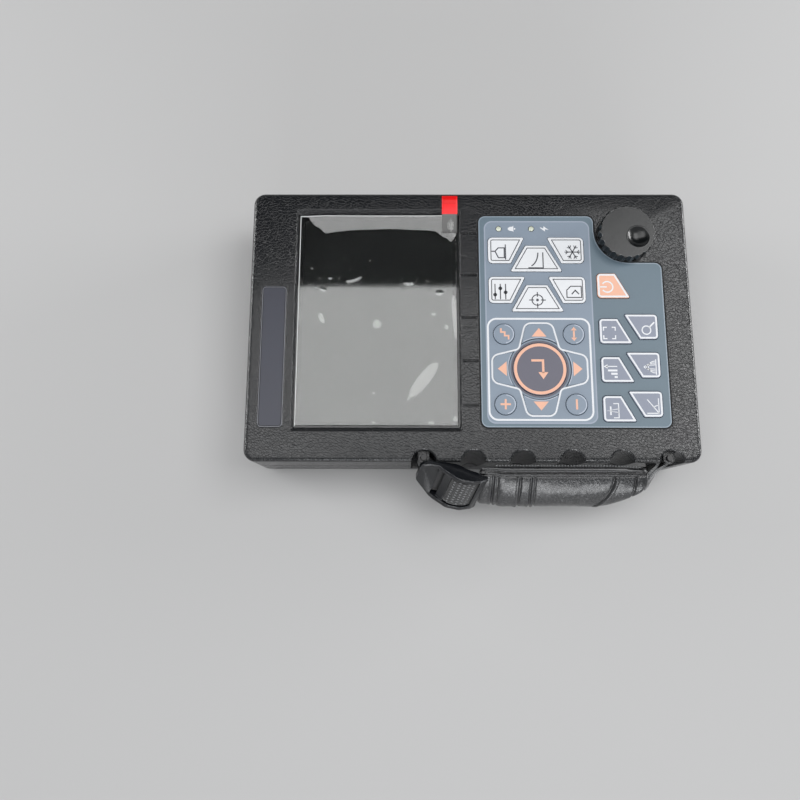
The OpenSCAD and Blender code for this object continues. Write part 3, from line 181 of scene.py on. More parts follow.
def make_leather_grain():
    """Cells with rounded lands between fine creases, as moulded leather grain or real leather has."""
    tree, given, out = new_group(
        "Shader", "leather_grain",
        [("Vector", "Vector"), ("Cells per metre", "Float", 1100.0), ("Crease width", "Float", 0.22),
         ("Fine share", "Float", 0.25)], [("Height", "Float"), ("Crease", "Float")])
    cells = given["Cells per metre"]
    warp = clouds(tree, given["Vector"], maths(tree, "MULTIPLY", cells, WARPS_PER_CELL), 2.0, "Color")
    shift = vectors(tree, "SUBTRACT", warp, (0.5, 0.5, 0.5))
    reach = maths(tree, "DIVIDE", WARP_REACH, cells)
    moved = node(tree, "ShaderNodeVectorMath", {0: shift, "Scale": reach}, operation="SCALE").outputs[0]
    place = vectors(tree, "ADD", given["Vector"], moved)
    creases = node(tree, "ShaderNodeTexVoronoi", {"Vector": place, "Scale": cells},
                   feature="DISTANCE_TO_EDGE")
    land = stepped(tree, creases.outputs["Distance"], 0.0, given["Crease width"])
    fine = clouds(tree, given["Vector"], maths(tree, "MULTIPLY", cells, FINE_PER_CELL), 3.0)
    height = maths(tree, "ADD", land, maths(tree, "MULTIPLY", fine, given["Fine share"]))
    tree.links.new(height, out["Height"])
    tree.links.new(maths(tree, "SUBTRACT", 1.0, land), out["Crease"])
    return tree


def make_mottle():
    """A colour that drifts a little, and a roughness that drifts with it."""
    tree, given, out = new_group(
        "Shader", "mottle",
        [("Vector", "Vector"), ("Color", "Color", (0.5, 0.5, 0.5, 1)), ("Scale", "Float", 60.0),
         ("Amount", "Float", 0.15), ("Roughness", "Float", 0.5)],
        [("Color", "Color"), ("Roughness", "Float")])
    cloud = clouds(tree, given["Vector"], given["Scale"], 5.0, Roughness=0.6)
    drift = maths(tree, "MULTIPLY", maths(tree, "SUBTRACT", cloud, 0.5), 2.0)
    drift = maths(tree, "MULTIPLY", drift, given["Amount"])
    tinted = node(tree, "ShaderNodeHueSaturation",
                  {"Value": maths(tree, "ADD", drift, 1.0), "Color": given["Color"]})
    tree.links.new(tinted.outputs[0], out["Color"])
    share = maths(tree, "ADD", maths(tree, "MULTIPLY", drift, ROUGHNESS_SHARE), 1.0)
    tree.links.new(maths(tree, "MULTIPLY", given["Roughness"], share), out["Roughness"])
    return tree


def make_painted_edge_highlight():
    """Painted highlight along edges: the difference between the true and a rounded normal, broken up by
    noise.
    """
    tree, given, out = new_group(
        "Shader", "painted_edge_highlight",
        [("Vector", "Vector"), ("Radius", "Float", 0.0006), ("Strength", "Float", 1.0)],
        [("Mask", "Float"), ("Normal", "Vector")])
    bevel = node(tree, "ShaderNodeBevel", {"Radius": given["Radius"]}, samples=4).outputs[0]
    true = tree.nodes.new("ShaderNodeNewGeometry").outputs["Normal"]
    edge = stepped(tree, vectors(tree, "DOT_PRODUCT", bevel, true, out=1), 0.97, 0.75)
    breakup = stepped(tree, clouds(tree, given["Vector"], EDGE_BREAKUP_SCALE, 4.0), 0.35, 0.62)
    # Painted highlight: this mask lightens the edges towards a pale colour.
    lit_edge = maths(tree, "MULTIPLY", edge, breakup)
    tree.links.new(maths(tree, "MULTIPLY", lit_edge, given["Strength"]), out["Mask"])
    tree.links.new(bevel, out["Normal"])
    return tree


def make_keypad_zones():
    """The printed ground of the keypad: a lighter inner panel with round corners on a slate border."""
    tree, given, out = new_group(
        "Shader", "keypad_zones",
        [("Vector", "Vector"), ("Ground", "Color", (0.130, 0.186, 0.230, 1)),
         ("Panel", "Color", (0.240, 0.297, 0.372, 1)), ("Line", "Color", (0.36, 0.41, 0.50, 1))],
        [("Color", "Color")])
    size = vectors(tree, "ABSOLUTE", vectors(tree, "SUBTRACT", given["Vector"], PANEL_CENTRE))
    corner = vectors(tree, "SUBTRACT", size, (PANEL_HALF[0] - PANEL_R, PANEL_HALF[1] - PANEL_R, 1.0))
    reach = vectors(tree, "LENGTH", vectors(tree, "MAXIMUM", corner, (0, 0, 0)), out=1)
    inside = stepped(tree, reach, PANEL_R + 0.0002, PANEL_R - 0.0001)
    line = stepped(tree, reach, PANEL_R - 0.0010, PANEL_R - 0.0003)
    panel = mixed(tree, line, given["Panel"], given["Line"])
    tree.links.new(mixed(tree, inside, given["Ground"], panel), out["Color"])
    return tree


def make_weave():
    """A woven band: warp ribs along the band and weft picks across it, on the piece's own UV map."""
    tree, given, out = new_group(
        "Shader", "weave", [("Vector", "Vector"), ("Ribs", "Float", 12.0), ("Picks", "Float", 60.0)],
        [("Height", "Float"), ("Thread", "Float")])

    def wave(value):
        return maths(tree, "SINE", maths(tree, "MULTIPLY", maths(tree, "FRACT", value), math.pi))

    parts = node(tree, "ShaderNodeSeparateXYZ", {0: given["Vector"]}).outputs
    along = maths(tree, "MULTIPLY", parts["X"], given["Picks"])
    across = maths(tree, "MULTIPLY", parts["Y"], given["Ribs"])
    rib = wave(across)
    pick = wave(maths(tree, "ADD", along, maths(tree, "MULTIPLY", maths(tree, "FLOOR", across), 0.5)))
    height = maths(tree, "MULTIPLY", maths(tree, "POWER", rib, 0.5), maths(tree, "POWER", pick, 0.5))
    tree.links.new(height, out["Height"])
    tree.links.new(pick, out["Thread"])
    return tree


GRAIN = make_leather_grain()
MOTTLE = make_mottle()
EDGE_HIGHLIGHT = make_painted_edge_highlight()
ZONES = make_keypad_zones()
WEAVE = make_weave()


class Finish:
    """One material: a Principled surface with the parts that its finish asks for."""

    def __init__(self, name, roughness=0.5, metallic=0.0, **sockets):
        self.material = bpy.data.materials.new(name)
        self.material.use_nodes = True
        self.tree = self.material.node_tree
        self.tree.nodes.clear()
        self.surface = self.tree.nodes.new("ShaderNodeBsdfPrincipled")
        out = self.tree.nodes.new("ShaderNodeOutputMaterial")
        self.tree.links.new(self.surface.outputs[0], out.inputs[0])
        self.place = self.tree.nodes.new("ShaderNodeTexCoord").outputs["Object"]
        for key, value in {"Roughness": roughness, "Metallic": metallic, **sockets}.items():
            self.surface.inputs[key.replace("_", " ")].default_value = value
        self.colour, self.roughness, self.normal = None, roughness, None

    def group(self, tree, **values):
        links = {key.replace("_", " "): value for key, value in values.items()}
        return node(self.tree, "ShaderNodeGroup", {"Vector": self.place, **links}, node_tree=tree).outputs

    def clouds(self, scale, detail, **more):
        return clouds(self.tree, self.place, scale, detail, **more)

    def attribute(self, name):
        return node(self.tree, "ShaderNodeAttribute", attribute_name=name).outputs["Fac"]

    def stretched(self, scale):
        self.place = node(self.tree, "ShaderNodeMapping", {"Vector": self.place, "Scale": scale}).outputs[0]
        return self

    def slanted(self, turn, scale):
        """The pattern's own axes: turned about the vertical and drawn out along one of them."""
        links = {"Vector": self.place, "Rotation": (0, 0, math.radians(turn)), "Scale": scale}
        self.place = node(self.tree, "ShaderNodeMapping", links, vector_type="TEXTURE").outputs[0]
        return self

    def paint(self, colour, scale=60.0, amount=0.15):
        """Base colour and roughness that drift over the surface."""
        if not isinstance(colour, bpy.types.NodeSocket):
            colour = rgba(colour)
        made = self.group(MOTTLE, Color=colour, Scale=scale, Amount=amount, Roughness=self.roughness)
        self.colour, self.roughness = made["Color"], made["Roughness"]
        return self

    def bump(self, height, distance, strength=1.0):
        links = {"Height": height, "Distance": distance, "Strength": strength}
        if self.normal is not None:
            links["Normal"] = self.normal
        self.normal = node(self.tree, "ShaderNodeBump", links).outputs[0]
        return self

    def grain(self, cells, depth, crease=0.22, fine=0.25, strength=1.0, pale=None, matte=0.0):
        """Leather grain: its creases may be a little paler and less glossy than its lands."""
        made = self.group(GRAIN, Cells_per_metre=cells, Crease_width=crease, Fine_share=fine)
        self.bump(made["Height"], depth, strength)
        if pale:
            self.colour = mixed(self.tree, made["Crease"], rgba(pale), self.colour)
        if matte:
            self.roughness = maths(self.tree, "ADD", self.roughness,
                                   maths(self.tree, "MULTIPLY", made["Crease"], matte))
        return self

    def speckle(self, scale, depth, strength=1.0):
        return self.bump(self.clouds(scale, 3.0), depth, strength)

    def lit_edges(self, colour, radius=0.0006, strength=0.6, rounded=True):
        """Edges lightened towards a colour as a painted highlight, and rounded in the shading."""
        made = self.group(EDGE_HIGHLIGHT, Radius=radius, Strength=strength)
        self.colour = mixed(self.tree, made["Mask"], self.colour, rgba(colour))
        if rounded:
            self.normal = made["Normal"]
        return self

    def done(self):
        if self.colour is not None:
            self.tree.links.new(self.colour, self.surface.inputs["Base Color"])
            self.tree.links.new(self.roughness, self.surface.inputs["Roughness"])
        if self.normal is not None:
            self.tree.links.new(self.normal, self.surface.inputs["Normal"])
        return self.material


def plain(name, colour, roughness=0.5, metallic=0.0, scale=90.0, amount=0.1, speckle=(900.0, 0.00001),
          **more):
    made = Finish(name, roughness, metallic, **more).paint(colour, scale, amount)
    return made.speckle(*speckle).done()


def printed_sheet():
    made = Finish("keypad_sheet", 0.40, IOR=1.5)
    made.paint(made.group(ZONES)["Color"], 45.0, 0.07)
    # Painted highlight: the sheet's edges are lightened towards pale blue-grey.
    return made.lit_edges((0.30, 0.34, 0.40), 0.0004, 0.5).done()


def brushed_metal(name, colour, roughness, scale):
    made = Finish(name, roughness, 1.0).paint(colour, 200.0, 0.12).stretched(scale)
    return made.bump(made.clouds(900.0, 4.0), 0.00002, 0.6).done()


def film_surface():
    """Clear film with a gloss of its own where air lies under it, and a little dust and streaks."""
    made = Finish("clear_film", 0.035, IOR=1.52, Transmission_Weight=1.0, Coat_Roughness=0.03, Coat_IOR=1.5,
                  Base_Color=(0.93, 0.94, 0.93, 1))
    made.tree.links.new(made.attribute("air"), made.surface.inputs["Coat Weight"])
    dust, streaks = made.clouds(260.0, 6.0), made.clouds(38.0, 3.0)
    rough = maths(made.tree, "ADD", stepped(made.tree, dust, 0.52, 0.85, 0.03, 0.12),
                  stepped(made.tree, streaks, 0.5, 0.8, 0.0, 0.05))
    made.tree.links.new(rough, made.surface.inputs["Roughness"])
    return made.bump(streaks, 0.00003, 0.3).done()


def tab_surface():
    """Film of the pull tab: smoky on the window, red beyond its edge and deeper red at the free end."""
    made = Finish("red_tab", 0.45)
    across = node(made.tree, "ShaderNodeSeparateXYZ", {0: made.place}).outputs["X"]
    end = stepped(made.tree, across, 0.0744, 0.0750)
    over = stepped(made.tree, across, 0.0684, 0.0690)
    tinted = mixed(made.tree, end, (1.0, 0.004, 0.010, 1), (0.86, 0.001, 0.002, 1))
    made.paint(mixed(made.tree, over, (0.13, 0.13, 0.128, 1), tinted), 120.0, 0.03)
    return made.speckle(700.0, 0.00001).done()


def strap_leather():
    """Soft black leather: grained on the front panel, smoother along the upper band, with painted shade
    darkening it along each seam line.
    """
    made = Finish("strap_leather", 0.30, Coat_Weight=0.6, Coat_Roughness=0.20)
    made.paint((0.008, 0.009, 0.011), 110.0, 0.25)
    grain = made.group(GRAIN, Cells_per_metre=600.0, Crease_width=0.34, Fine_share=0.05)
    depth = stepped(made.tree, made.attribute("band"), 0.0, 1.0, 1.0, 0.35)
    made.bump(maths(made.tree, "MULTIPLY", grain["Height"], depth), 0.00020, 0.9).stretched((1.0, 1.7, 1.0))
    made.bump(made.clouds(95.0, 3.0, Distortion=0.8), 0.0009, 0.5)
    # Painted shade: the colour darkens where the seam grooves lie.
    made.colour = mixed(made.tree, made.attribute("seam"), made.colour, (0.004, 0.004, 0.005, 1))
    return made.done()


def webbing_surface():
    made = Finish("webbing", 0.62, Sheen_Weight=0.35)
    made.place = node(made.tree, "ShaderNodeUVMap").outputs[0]
    made.paint((0.020, 0.020, 0.022), 14.0, 0.25)
    weave = made.group(WEAVE, Ribs=14.0, Picks=1.0)
    made.bump(weave["Height"], 0.00025, 1.0)
    made.colour = mixed(made.tree, maths(made.tree, "MULTIPLY", weave["Thread"], 0.5),
                        (0.008, 0.008, 0.009, 1), made.colour)
    return made.done()


def board_surface():
    """Green solder mask with copper runs that show through it as paler lines."""
    made = Finish("board_mask", 0.35)
    runs = node(made.tree, "ShaderNodeTexBrick", {
        "Vector": made.place, "Scale": 90.0, "Mortar Size": 0.03, "Color1": (0.02, 0.15, 0.07, 1),
        "Color2": (0.03, 0.20, 0.10, 1), "Mortar": (0.08, 0.30, 0.14, 1)})
    return made.paint(runs.outputs["Color"], 80.0, 0.15).speckle(800.0, 0.00002).done()


def case_surface():
    """Black moulded plastic with a slanting leather grain."""
    made = Finish("case_plastic", 0.15).slanted(-45, (1.0, 1.8, 1.0)).paint((0.0035, 0.004, 0.005), 35.0, 0.3)
    # Painted highlight: the case's edges are lightened towards pale grey.
    made.lit_edges((0.27, 0.275, 0.29), 0.0009, 0.65)
    return made.grain(860.0, 0.00007, crease=0.14, fine=0.05, pale=(0.011, 0.012, 0.014), matte=0.1).done()


def plastic_with_lit_edges(name, colour, scale, edge_light, rounded=True):
    """Smooth black plastic with a painted highlight along its edges."""
    return Finish(name, 0.24).paint(colour, scale, 0.25).lit_edges(edge_light, 0.0006, 0.9, rounded)


FINISHES = {
    "case": case_surface(),
    "sheet": printed_sheet(),
    "lilac": plain("function_key_print", (0.240, 0.268, 0.345), 0.32, amount=0.05, speckle=PRINT_GRAIN),
    "white": plain("white_key_print", (0.84, 0.86, 0.89), 0.38, amount=0.04, speckle=PRINT_GRAIN),
    "dark": plain("dark_ink", (0.035, 0.038, 0.05), 0.40, amount=0.1),
    "orange": plain("orange_ink", (0.90, 0.49, 0.34), 0.34, amount=0.05),
    "pale": plain("pale_ink", (0.50, 0.55, 0.64), 0.36, amount=0.06),
    "lip": plain("sheet_lip", (0.30, 0.37, 0.44), 0.30, amount=0.06),
    # Painted shadow: a near-black band for recess lines round the sheet and plate.
    "gap_shade": plain("gap_shadow", (0.003, 0.003, 0.003), 0.8, amount=0.1),
    "trim": plain("plate_trim", (0.30, 0.31, 0.35), 0.3, amount=0.1),
    "disc": plain("enter_disc", (0.115, 0.112, 0.15), 0.36, amount=0.08, speckle=PRINT_GRAIN),
    # Painted highlight: near-white colour for the light caught along the film's cut edges.
    "edge": plain("film_edge_highlight", (0.80, 0.82, 0.82), 0.4, amount=0.04),
    "glass": plain("window_glass", (0.16, 0.17, 0.17), 0.03, amount=0.02, speckle=(30.0, 0.00001),
                   Transmission_Weight=0.85, IOR=1.52),
    "film": film_surface(),
    "tab": tab_surface(),
    "plate": plain("plate_lacquer", (0.034, 0.037, 0.056), 0.40, amount=0.12, speckle=(1500.0, 0.00002)),
    "rubber": plain("seal_rubber", (0.018, 0.018, 0.019), 0.75, amount=0.15, speckle=(700.0, 0.00005)),
    "screen": plain("display_screen", (0.012, 0.013, 0.014), 0.18, amount=0.1),
    "steel": brushed_metal("screw_steel", (0.62, 0.62, 0.63), 0.32, (1.0, 1.0, 0.1)),
    "tin": brushed_metal("tinned_sheet", (0.66, 0.67, 0.68), 0.38, (1.0, 0.06, 1.0)),
    "nickel": brushed_metal("nickel_plate", (0.72, 0.71, 0.68), 0.18, (0.2, 1.0, 0.2)),
    "brass": brushed_metal("contact_brass", (0.80, 0.60, 0.28), 0.25, (1.0, 0.2, 1.0)),
    # Painted highlight: the knob's flute edges are lightened towards pale grey.
    "knob": plastic_with_lit_edges("knob_plastic", (0.004, 0.005, 0.0055), 70.0, (0.42, 0.42, 0.43), False).speckle(
        1300.0, 0.00003).done(),
    "pin": plain("blacked_pin", (0.008, 0.008, 0.009), 0.35, speckle=(1500.0, 0.00002)),
    "encoder": plain("encoder_plastic", (0.09, 0.09, 0.10), 0.5),
    "chip": plain("chip_resin", (0.022, 0.022, 0.024), 0.55, speckle=(1500.0, 0.00003)),
    "board": board_surface(),
    "ribbon": plain("ribbon_film", (0.55, 0.30, 0.09), 0.3),
    "battery": plain("battery_sleeve", (0.03, 0.05, 0.13), 0.25, amount=0.12),
    "ceramic": plain("white_insulator", (0.82, 0.82, 0.79), 0.4, amount=0.05),
    "lamp": plain("lamp_lens", (0.80, 0.85, 0.70), 0.15, amount=0.05, Transmission_Weight=0.15),
    "leather": strap_leather(),
    "webbing": webbing_surface(),
    # Painted highlight: the buckle's edges are lightened towards grey.
    "buckle": plastic_with_lit_edges("buckle_plastic", (0.006, 0.007, 0.009), 90.0, (0.30, 0.31, 0.33)).grain(
        900.0, 0.00004, strength=0.6).done(),
    # Painted highlight: threads of the black webbing and stitches, made paler than the webbing to stand for
    # the light on them.
    "thread_highlight": plain("strap_thread_highlight", (0.16, 0.165, 0.17), 0.34, Coat_Weight=0.5),
    "socket_plate": plain("socket_plate_paint", (0.050, 0.050, 0.054), 0.45, speckle=(1200.0, 0.00004)),
}

NODES_BY_FINISH = {
    "case": "front_housing rear_housing tilt_stand battery_cover", "rubber": "housing_seal window_seal",
    "steel": "case_screws inner_screws cover_screws stand_pin encoder_shaft", "pin": "strap_anchor_pins",
    "glass": "window_glass", "plate": "name_plate", "screen": "lcd_panel", "ribbon": "lcd_ribbon",
    "tin": "lcd_bracket key_domes shield_can", "board": "keypad_board main_board", "lamp": "indicator_lamps",
    "encoder": "encoder_body", "chip": "board_chips signal_ports", "battery": "battery_pack",
    "brass": "battery_contacts", "socket_plate": "socket_plate", "nickel": "probe_sockets",
    "ceramic": "socket_inserts", "knob": "knob", "buckle": "strap_buckle", "disc": "enter_key",
    "orange": "power_key",
}
NODE_FINISH = {name: finish for finish, names in NODES_BY_FINISH.items() for name in names.split()}
NODE_FINISH.update({f"menu_key_{k}": "white" for k in range(1, 7)})
NODE_FINISH.update({f"function_key_{k}": "lilac" for k in range(1, 7)})


def skin_tree():
    """Joins the loose faces of a node and shades it smooth, with its sharp edges kept."""
    tree, given, out = new_group(
        "Geometry", "skin", [("Geometry", "Geometry"), ("Join distance", "Float", 0.000002),
                             ("Crease angle", "Float", math.radians(32))], [("Geometry", "Geometry")])
    bare = node(tree, "GeometryNodeRemoveAttribute", {0: given[0], "Name": "custom_normal"})
    joined = node(tree, "GeometryNodeMergeByDistance",
                  {"Geometry": bare.outputs[0], "Distance": given["Join distance"]})
    faces = node(tree, "GeometryNodeSetShadeSmooth", {0: joined.outputs[0], "Shade Smooth": True},
                 domain="FACE")
    angle = node(tree, "GeometryNodeInputMeshEdgeAngle").outputs["Unsigned Angle"]
    sharp = node(tree, "FunctionNodeCompare", {0: angle, 1: given["Crease angle"]}, data_type="FLOAT",
                 operation="GREATER_THAN")
    edges = node(tree, "GeometryNodeSetShadeSmooth",
                 {0: faces.outputs[0], "Selection": sharp.outputs[0], "Shade Smooth": False}, domain="EDGE")
    tree.links.new(edges.outputs[0], out[0])
    return tree


SKIN = skin_tree()


def dress_nodes():
    for name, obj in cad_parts.items():
        obj.data.materials.clear()
        obj.data.materials.append(FINISHES[NODE_FINISH.get(name, "sheet")])
        obj.modifiers.new("skin", "NODES").node_group = SKIN


dress_nodes()


# Meshes made from points
def mesh_object(name, points, faces, scale=MM):
    mesh = bpy.data.meshes.new(name)
    mesh.from_pydata([Vector(p) * scale for p in points], [], faces)
    obj = bpy.data.objects.new(name, mesh)
    scene.collection.objects.link(obj)
    return obj


def applied(obj):
    """The object's mesh as its modifiers leave it."""
    return bpy.data.meshes.new_from_object(obj.evaluated_get(bpy.context.evaluated_depsgraph_get()))


def apply_modifiers(obj):
    mesh = applied(obj)
    obj.modifiers.clear()
    obj.data = mesh
    mesh.name = obj.name
    mesh.polygons.foreach_set("use_smooth", [True] * len(mesh.polygons))
    return mesh


def new_piece(name, verts, faces, finishes, body=BODY, slots=None, smooth=None):
    """A mesh object from points in millimetres; slots gives each face the number of its finish."""
    obj = mesh_object(name, verts, faces)
    mesh = obj.data
    for finish in finishes:
        mesh.materials.append(FINISHES[finish])
    if slots:
        mesh.polygons.foreach_set("material_index", slots)
    mesh.validate()
    mesh.update()
    if smooth:
        mesh.polygons.foreach_set("use_smooth", [True] * len(mesh.polygons))
        mesh.set_sharp_from_angle(angle=math.radians(smooth))
    if body:
        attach(obj, body)
    return obj


def recalculate(obj, join=True):
    """Turns every face outwards."""
    work = bmesh.new()
    work.from_mesh(obj.data)
    if join:
        bmesh.ops.remove_doubles(work, verts=work.verts, dist=1e-7)
    bmesh.ops.recalc_face_normals(work, faces=work.faces)
    work.to_mesh(obj.data)
    work.free()


def thicken(obj, thick, offset=-1.0):
    skin = obj.modifiers.new("thickness", "SOLIDIFY")
    skin.thickness, skin.offset = thick * MM, offset


def quads(rows, n, closed=True, flip=False, first=0):
    """Faces between rows of n points each; closed rows are rings."""
    faces = []
    for i in range(rows):
        a, b = first + i * n, first + (i + 1) * n
        for k in range(n if closed else n - 1):
            j = (k + 1) % n
            faces.append((a + k, b + k, b + j, a + j) if flip else (a + k, a + j, b + j, b + k))
    return faces


def spread(ends, n):
    """Evenly spaced places from one end to the other, both included."""
    return [ends[0] + (ends[1] - ends[0]) * i / n for i in range(n + 1)]


def arc(cx, cy, r, start, end, steps):
    return [(cx + r * math.cos(math.radians(a)), cy + r * math.sin(math.radians(a)))
            for a in spread((start, end), steps)]


def signed_area(points):
    return sum(a[0] * b[1] - b[0] * a[1] for a, b in zip(points, points[1:] + points[:1])) / 2


def inset(points, d):
    """An anticlockwise outline moved inwards by d, its corners kept sharp."""
    made = []
    for i, p in enumerate(points):
        a, b = Vector(points[i - 1]), Vector(points[(i + 1) % len(points)])
        p = Vector(p)
        u, w = (p - a).normalized(), (b - p).normalized()
        n, m = Vector((-u.y, u.x)), Vector((-w.y, w.x))
        made.append(tuple(p + (n + m) * (d / (1 + n.dot(m)))))
    return made


def rounded(points, radii, steps):
    """A closed outline with each corner rounded by its own radius."""
    made = []
    for i, p in enumerate(points):
        a, b = Vector(points[i - 1]), Vector(points[(i + 1) % len(points)])
        p = Vector(p)
        u, w = (a - p).normalized(), (b - p).normalized()
        half = u.angle(w) / 2
        centre = p + (u + w).normalized() * (radii[i] / math.sin(half))
        reach = radii[i] / math.tan(half)
        start, end = p + u * reach - centre, p + w * reach - centre
        first = math.atan2(start.y, start.x)
        turn = math.atan2(end.y, end.x) - first
        turn = (turn + math.pi) % (2 * math.pi) - math.pi
        made += [(centre.x + radii[i] * math.cos(first + turn * k / steps),
                  centre.y + radii[i] * math.sin(first + turn * k / steps)) for k in range(steps + 1)]
    return made


class Print:
    """Printed shapes on one flat face, kept as very thin solids in one mesh."""

    def __init__(self, name, height, body):
        self.name, self.low, self.body = name, height, body
        self.high = height + INK_THICK
        self.verts, self.faces, self.slots, self.inks = [], [], [], []

    def _add(self, faces, ink):
        if ink not in self.inks:
            self.inks.append(ink)
        self.faces += faces
        self.slots += [self.inks.index(ink)] * len(faces)

    def _wall(self, points):
        start = len(self.verts)
        self.verts += [(x, y, z) for z in (self.low, self.high) for x, y in points]
        return start, len(points)

    def area(self, points, ink):
        s, n = self._wall(points if signed_area(points) > 0 else points[::-1])
        faces = [tuple(range(s + n, s + 2 * n)), tuple(range(s + n - 1, s - 1, -1))]
        self._add(faces + quads(1, n, first=s), ink)

    def band(self, outer, inner, ink):
        """The area between two outlines with as many corners."""
        if signed_area(outer) < 0:
            outer, inner = outer[::-1], inner[::-1]
        s, n = self._wall(outer)
        t, _ = self._wall(inner)
        faces = []
        for i in range(n):
            j = (i + 1) % n
            faces += [(s + n + i, s + n + j, t + n + j, t + n + i), (s + j, s + i, t + i, t + j),
                      (s + i, s + j, s + n + j, s + n + i), (t + j, t + i, t + n + i, t + n + j)]
        self._add(faces, ink)

    def outline(self, points, radii, start, end, ink):
        """A band along a closed outline between two insets from it."""
        if signed_area(points) < 0:
            points, radii = points[::-1], radii[::-1]
        rings = []
        for d in (start, end):
            bends = []
            for i, r in enumerate(radii):
                a, b, c = (Vector(points[(i + k) % len(points)]) for k in (-1, 0, 1))
                hollow = (b - a).cross(c - b) < 0
                bends.append(max(r + (d if hollow else -d), SMALLEST_BEND))
            rings.append(rounded(inset(points, d), bends, 8))
        self.band(rings[0], rings[1], ink)

    def stroke(self, path, width, ink, closed=False):
        """A line of even width along a path."""
        sides = ([], [])
        n = len(path)
        for i, p in enumerate(path):
            a = path[i - 1] if closed or i else None
            b = path[(i + 1) % n] if closed or i < n - 1 else None
            p = Vector(p)
            u = (p - Vector(a)).normalized() if a else (Vector(b) - p).normalized()
            w = (Vector(b) - p).normalized() if b else u
            n1, n2 = Vector((-u.y, u.x)), Vector((-w.y, w.x))
            off = (n1 + n2) * (width / 2 / max(0.35, 1 + n1.dot(n2)))
            sides[0].append(tuple(p + off))
            sides[1].append(tuple(p - off))
        if closed:
            self.band(*sorted(sides, key=lambda side: -abs(signed_area(side))), ink)
        else:
            self.area(sides[0] + sides[1][::-1], ink)

    def disc(self, x, y, r, ink, steps=28):
        self.area(arc(x, y, r, 0, 360 - 360 / steps, steps - 1), ink)

    def ring(self, x, y, r, width, ink, steps=96):
        rings = [arc(x, y, edge, 0, 360 - 360 / steps, steps - 1) for edge in (r + width / 2, r - width / 2)]
        self.band(*rings, ink)

    def piece(self, slot):
        new_piece(self.name, self.verts, self.faces, self.inks, self.body, self.slots)


def placed(path, x, y, size=1.0, turn=0.0):
    """A pictogram's path, drawn with its own up along +Y, moved to its place on the face."""
    c, s = math.cos(math.radians(turn)) * size, math.sin(math.radians(turn)) * size
    return [(x + u * c - v * s, y + u * s + v * c) for u, v in path]


# Key outlines, as corners with their rounding radii
MENU_CORNER_R, POINT_R, FUNCTION_CORNER_R = 2.6, 0.7, 2.2
MENU_HALF, MENU_LONG, MENU_SHORT = 28.6, 21.6, 13.3
MIDDLE_TOP, MIDDLE_LOW = 6.2, 15.4
LEFT_LONG, LEFT_SHORT, RIGHT_LONG, RIGHT_SHORT = 19.1, 10.8, 19.5, 10.8


def menu_corners(row, side):
    top = MENU_TOPS[row] - (MENU_DROP if side == 0 else 0)
    if side == 0:
        ends, radii = (-MIDDLE_TOP, MIDDLE_TOP, MIDDLE_LOW, -MIDDLE_LOW), [POINT_R] * 4
    else:
        ends = [side * end for end in (MENU_HALF, MENU_HALF - MENU_LONG, MENU_HALF - MENU_SHORT, MENU_HALF)]
        radii = [MENU_CORNER_R, POINT_R, POINT_R, MENU_CORNER_R]
    return four_corners(top, top - MENU_HEIGHT, MENU_Y, ends), radii


def four_corners(top, low, y, ends):
    return [(x, y + end) for x, end in zip((top, top, low, low), ends)]


def function_corners(row, side):
    top = (POWER_TOP if row < 0 else FUNCTION_TOPS[row]) + (FUNCTION_SHIFT if side > 0 else 0)
    y, ends = FUNCTION_RIGHT_Y, (0, RIGHT_LONG, RIGHT_SHORT, 0)
    if side < 0:
        y, ends = FUNCTION_LEFT_Y, (0, -LEFT_SHORT, -LEFT_LONG, 0)
    radii = [FUNCTION_CORNER_R, POINT_R, POINT_R, FUNCTION_CORNER_R]
    return four_corners(top, top - FUNCTION_HEIGHT, y, ends), radii


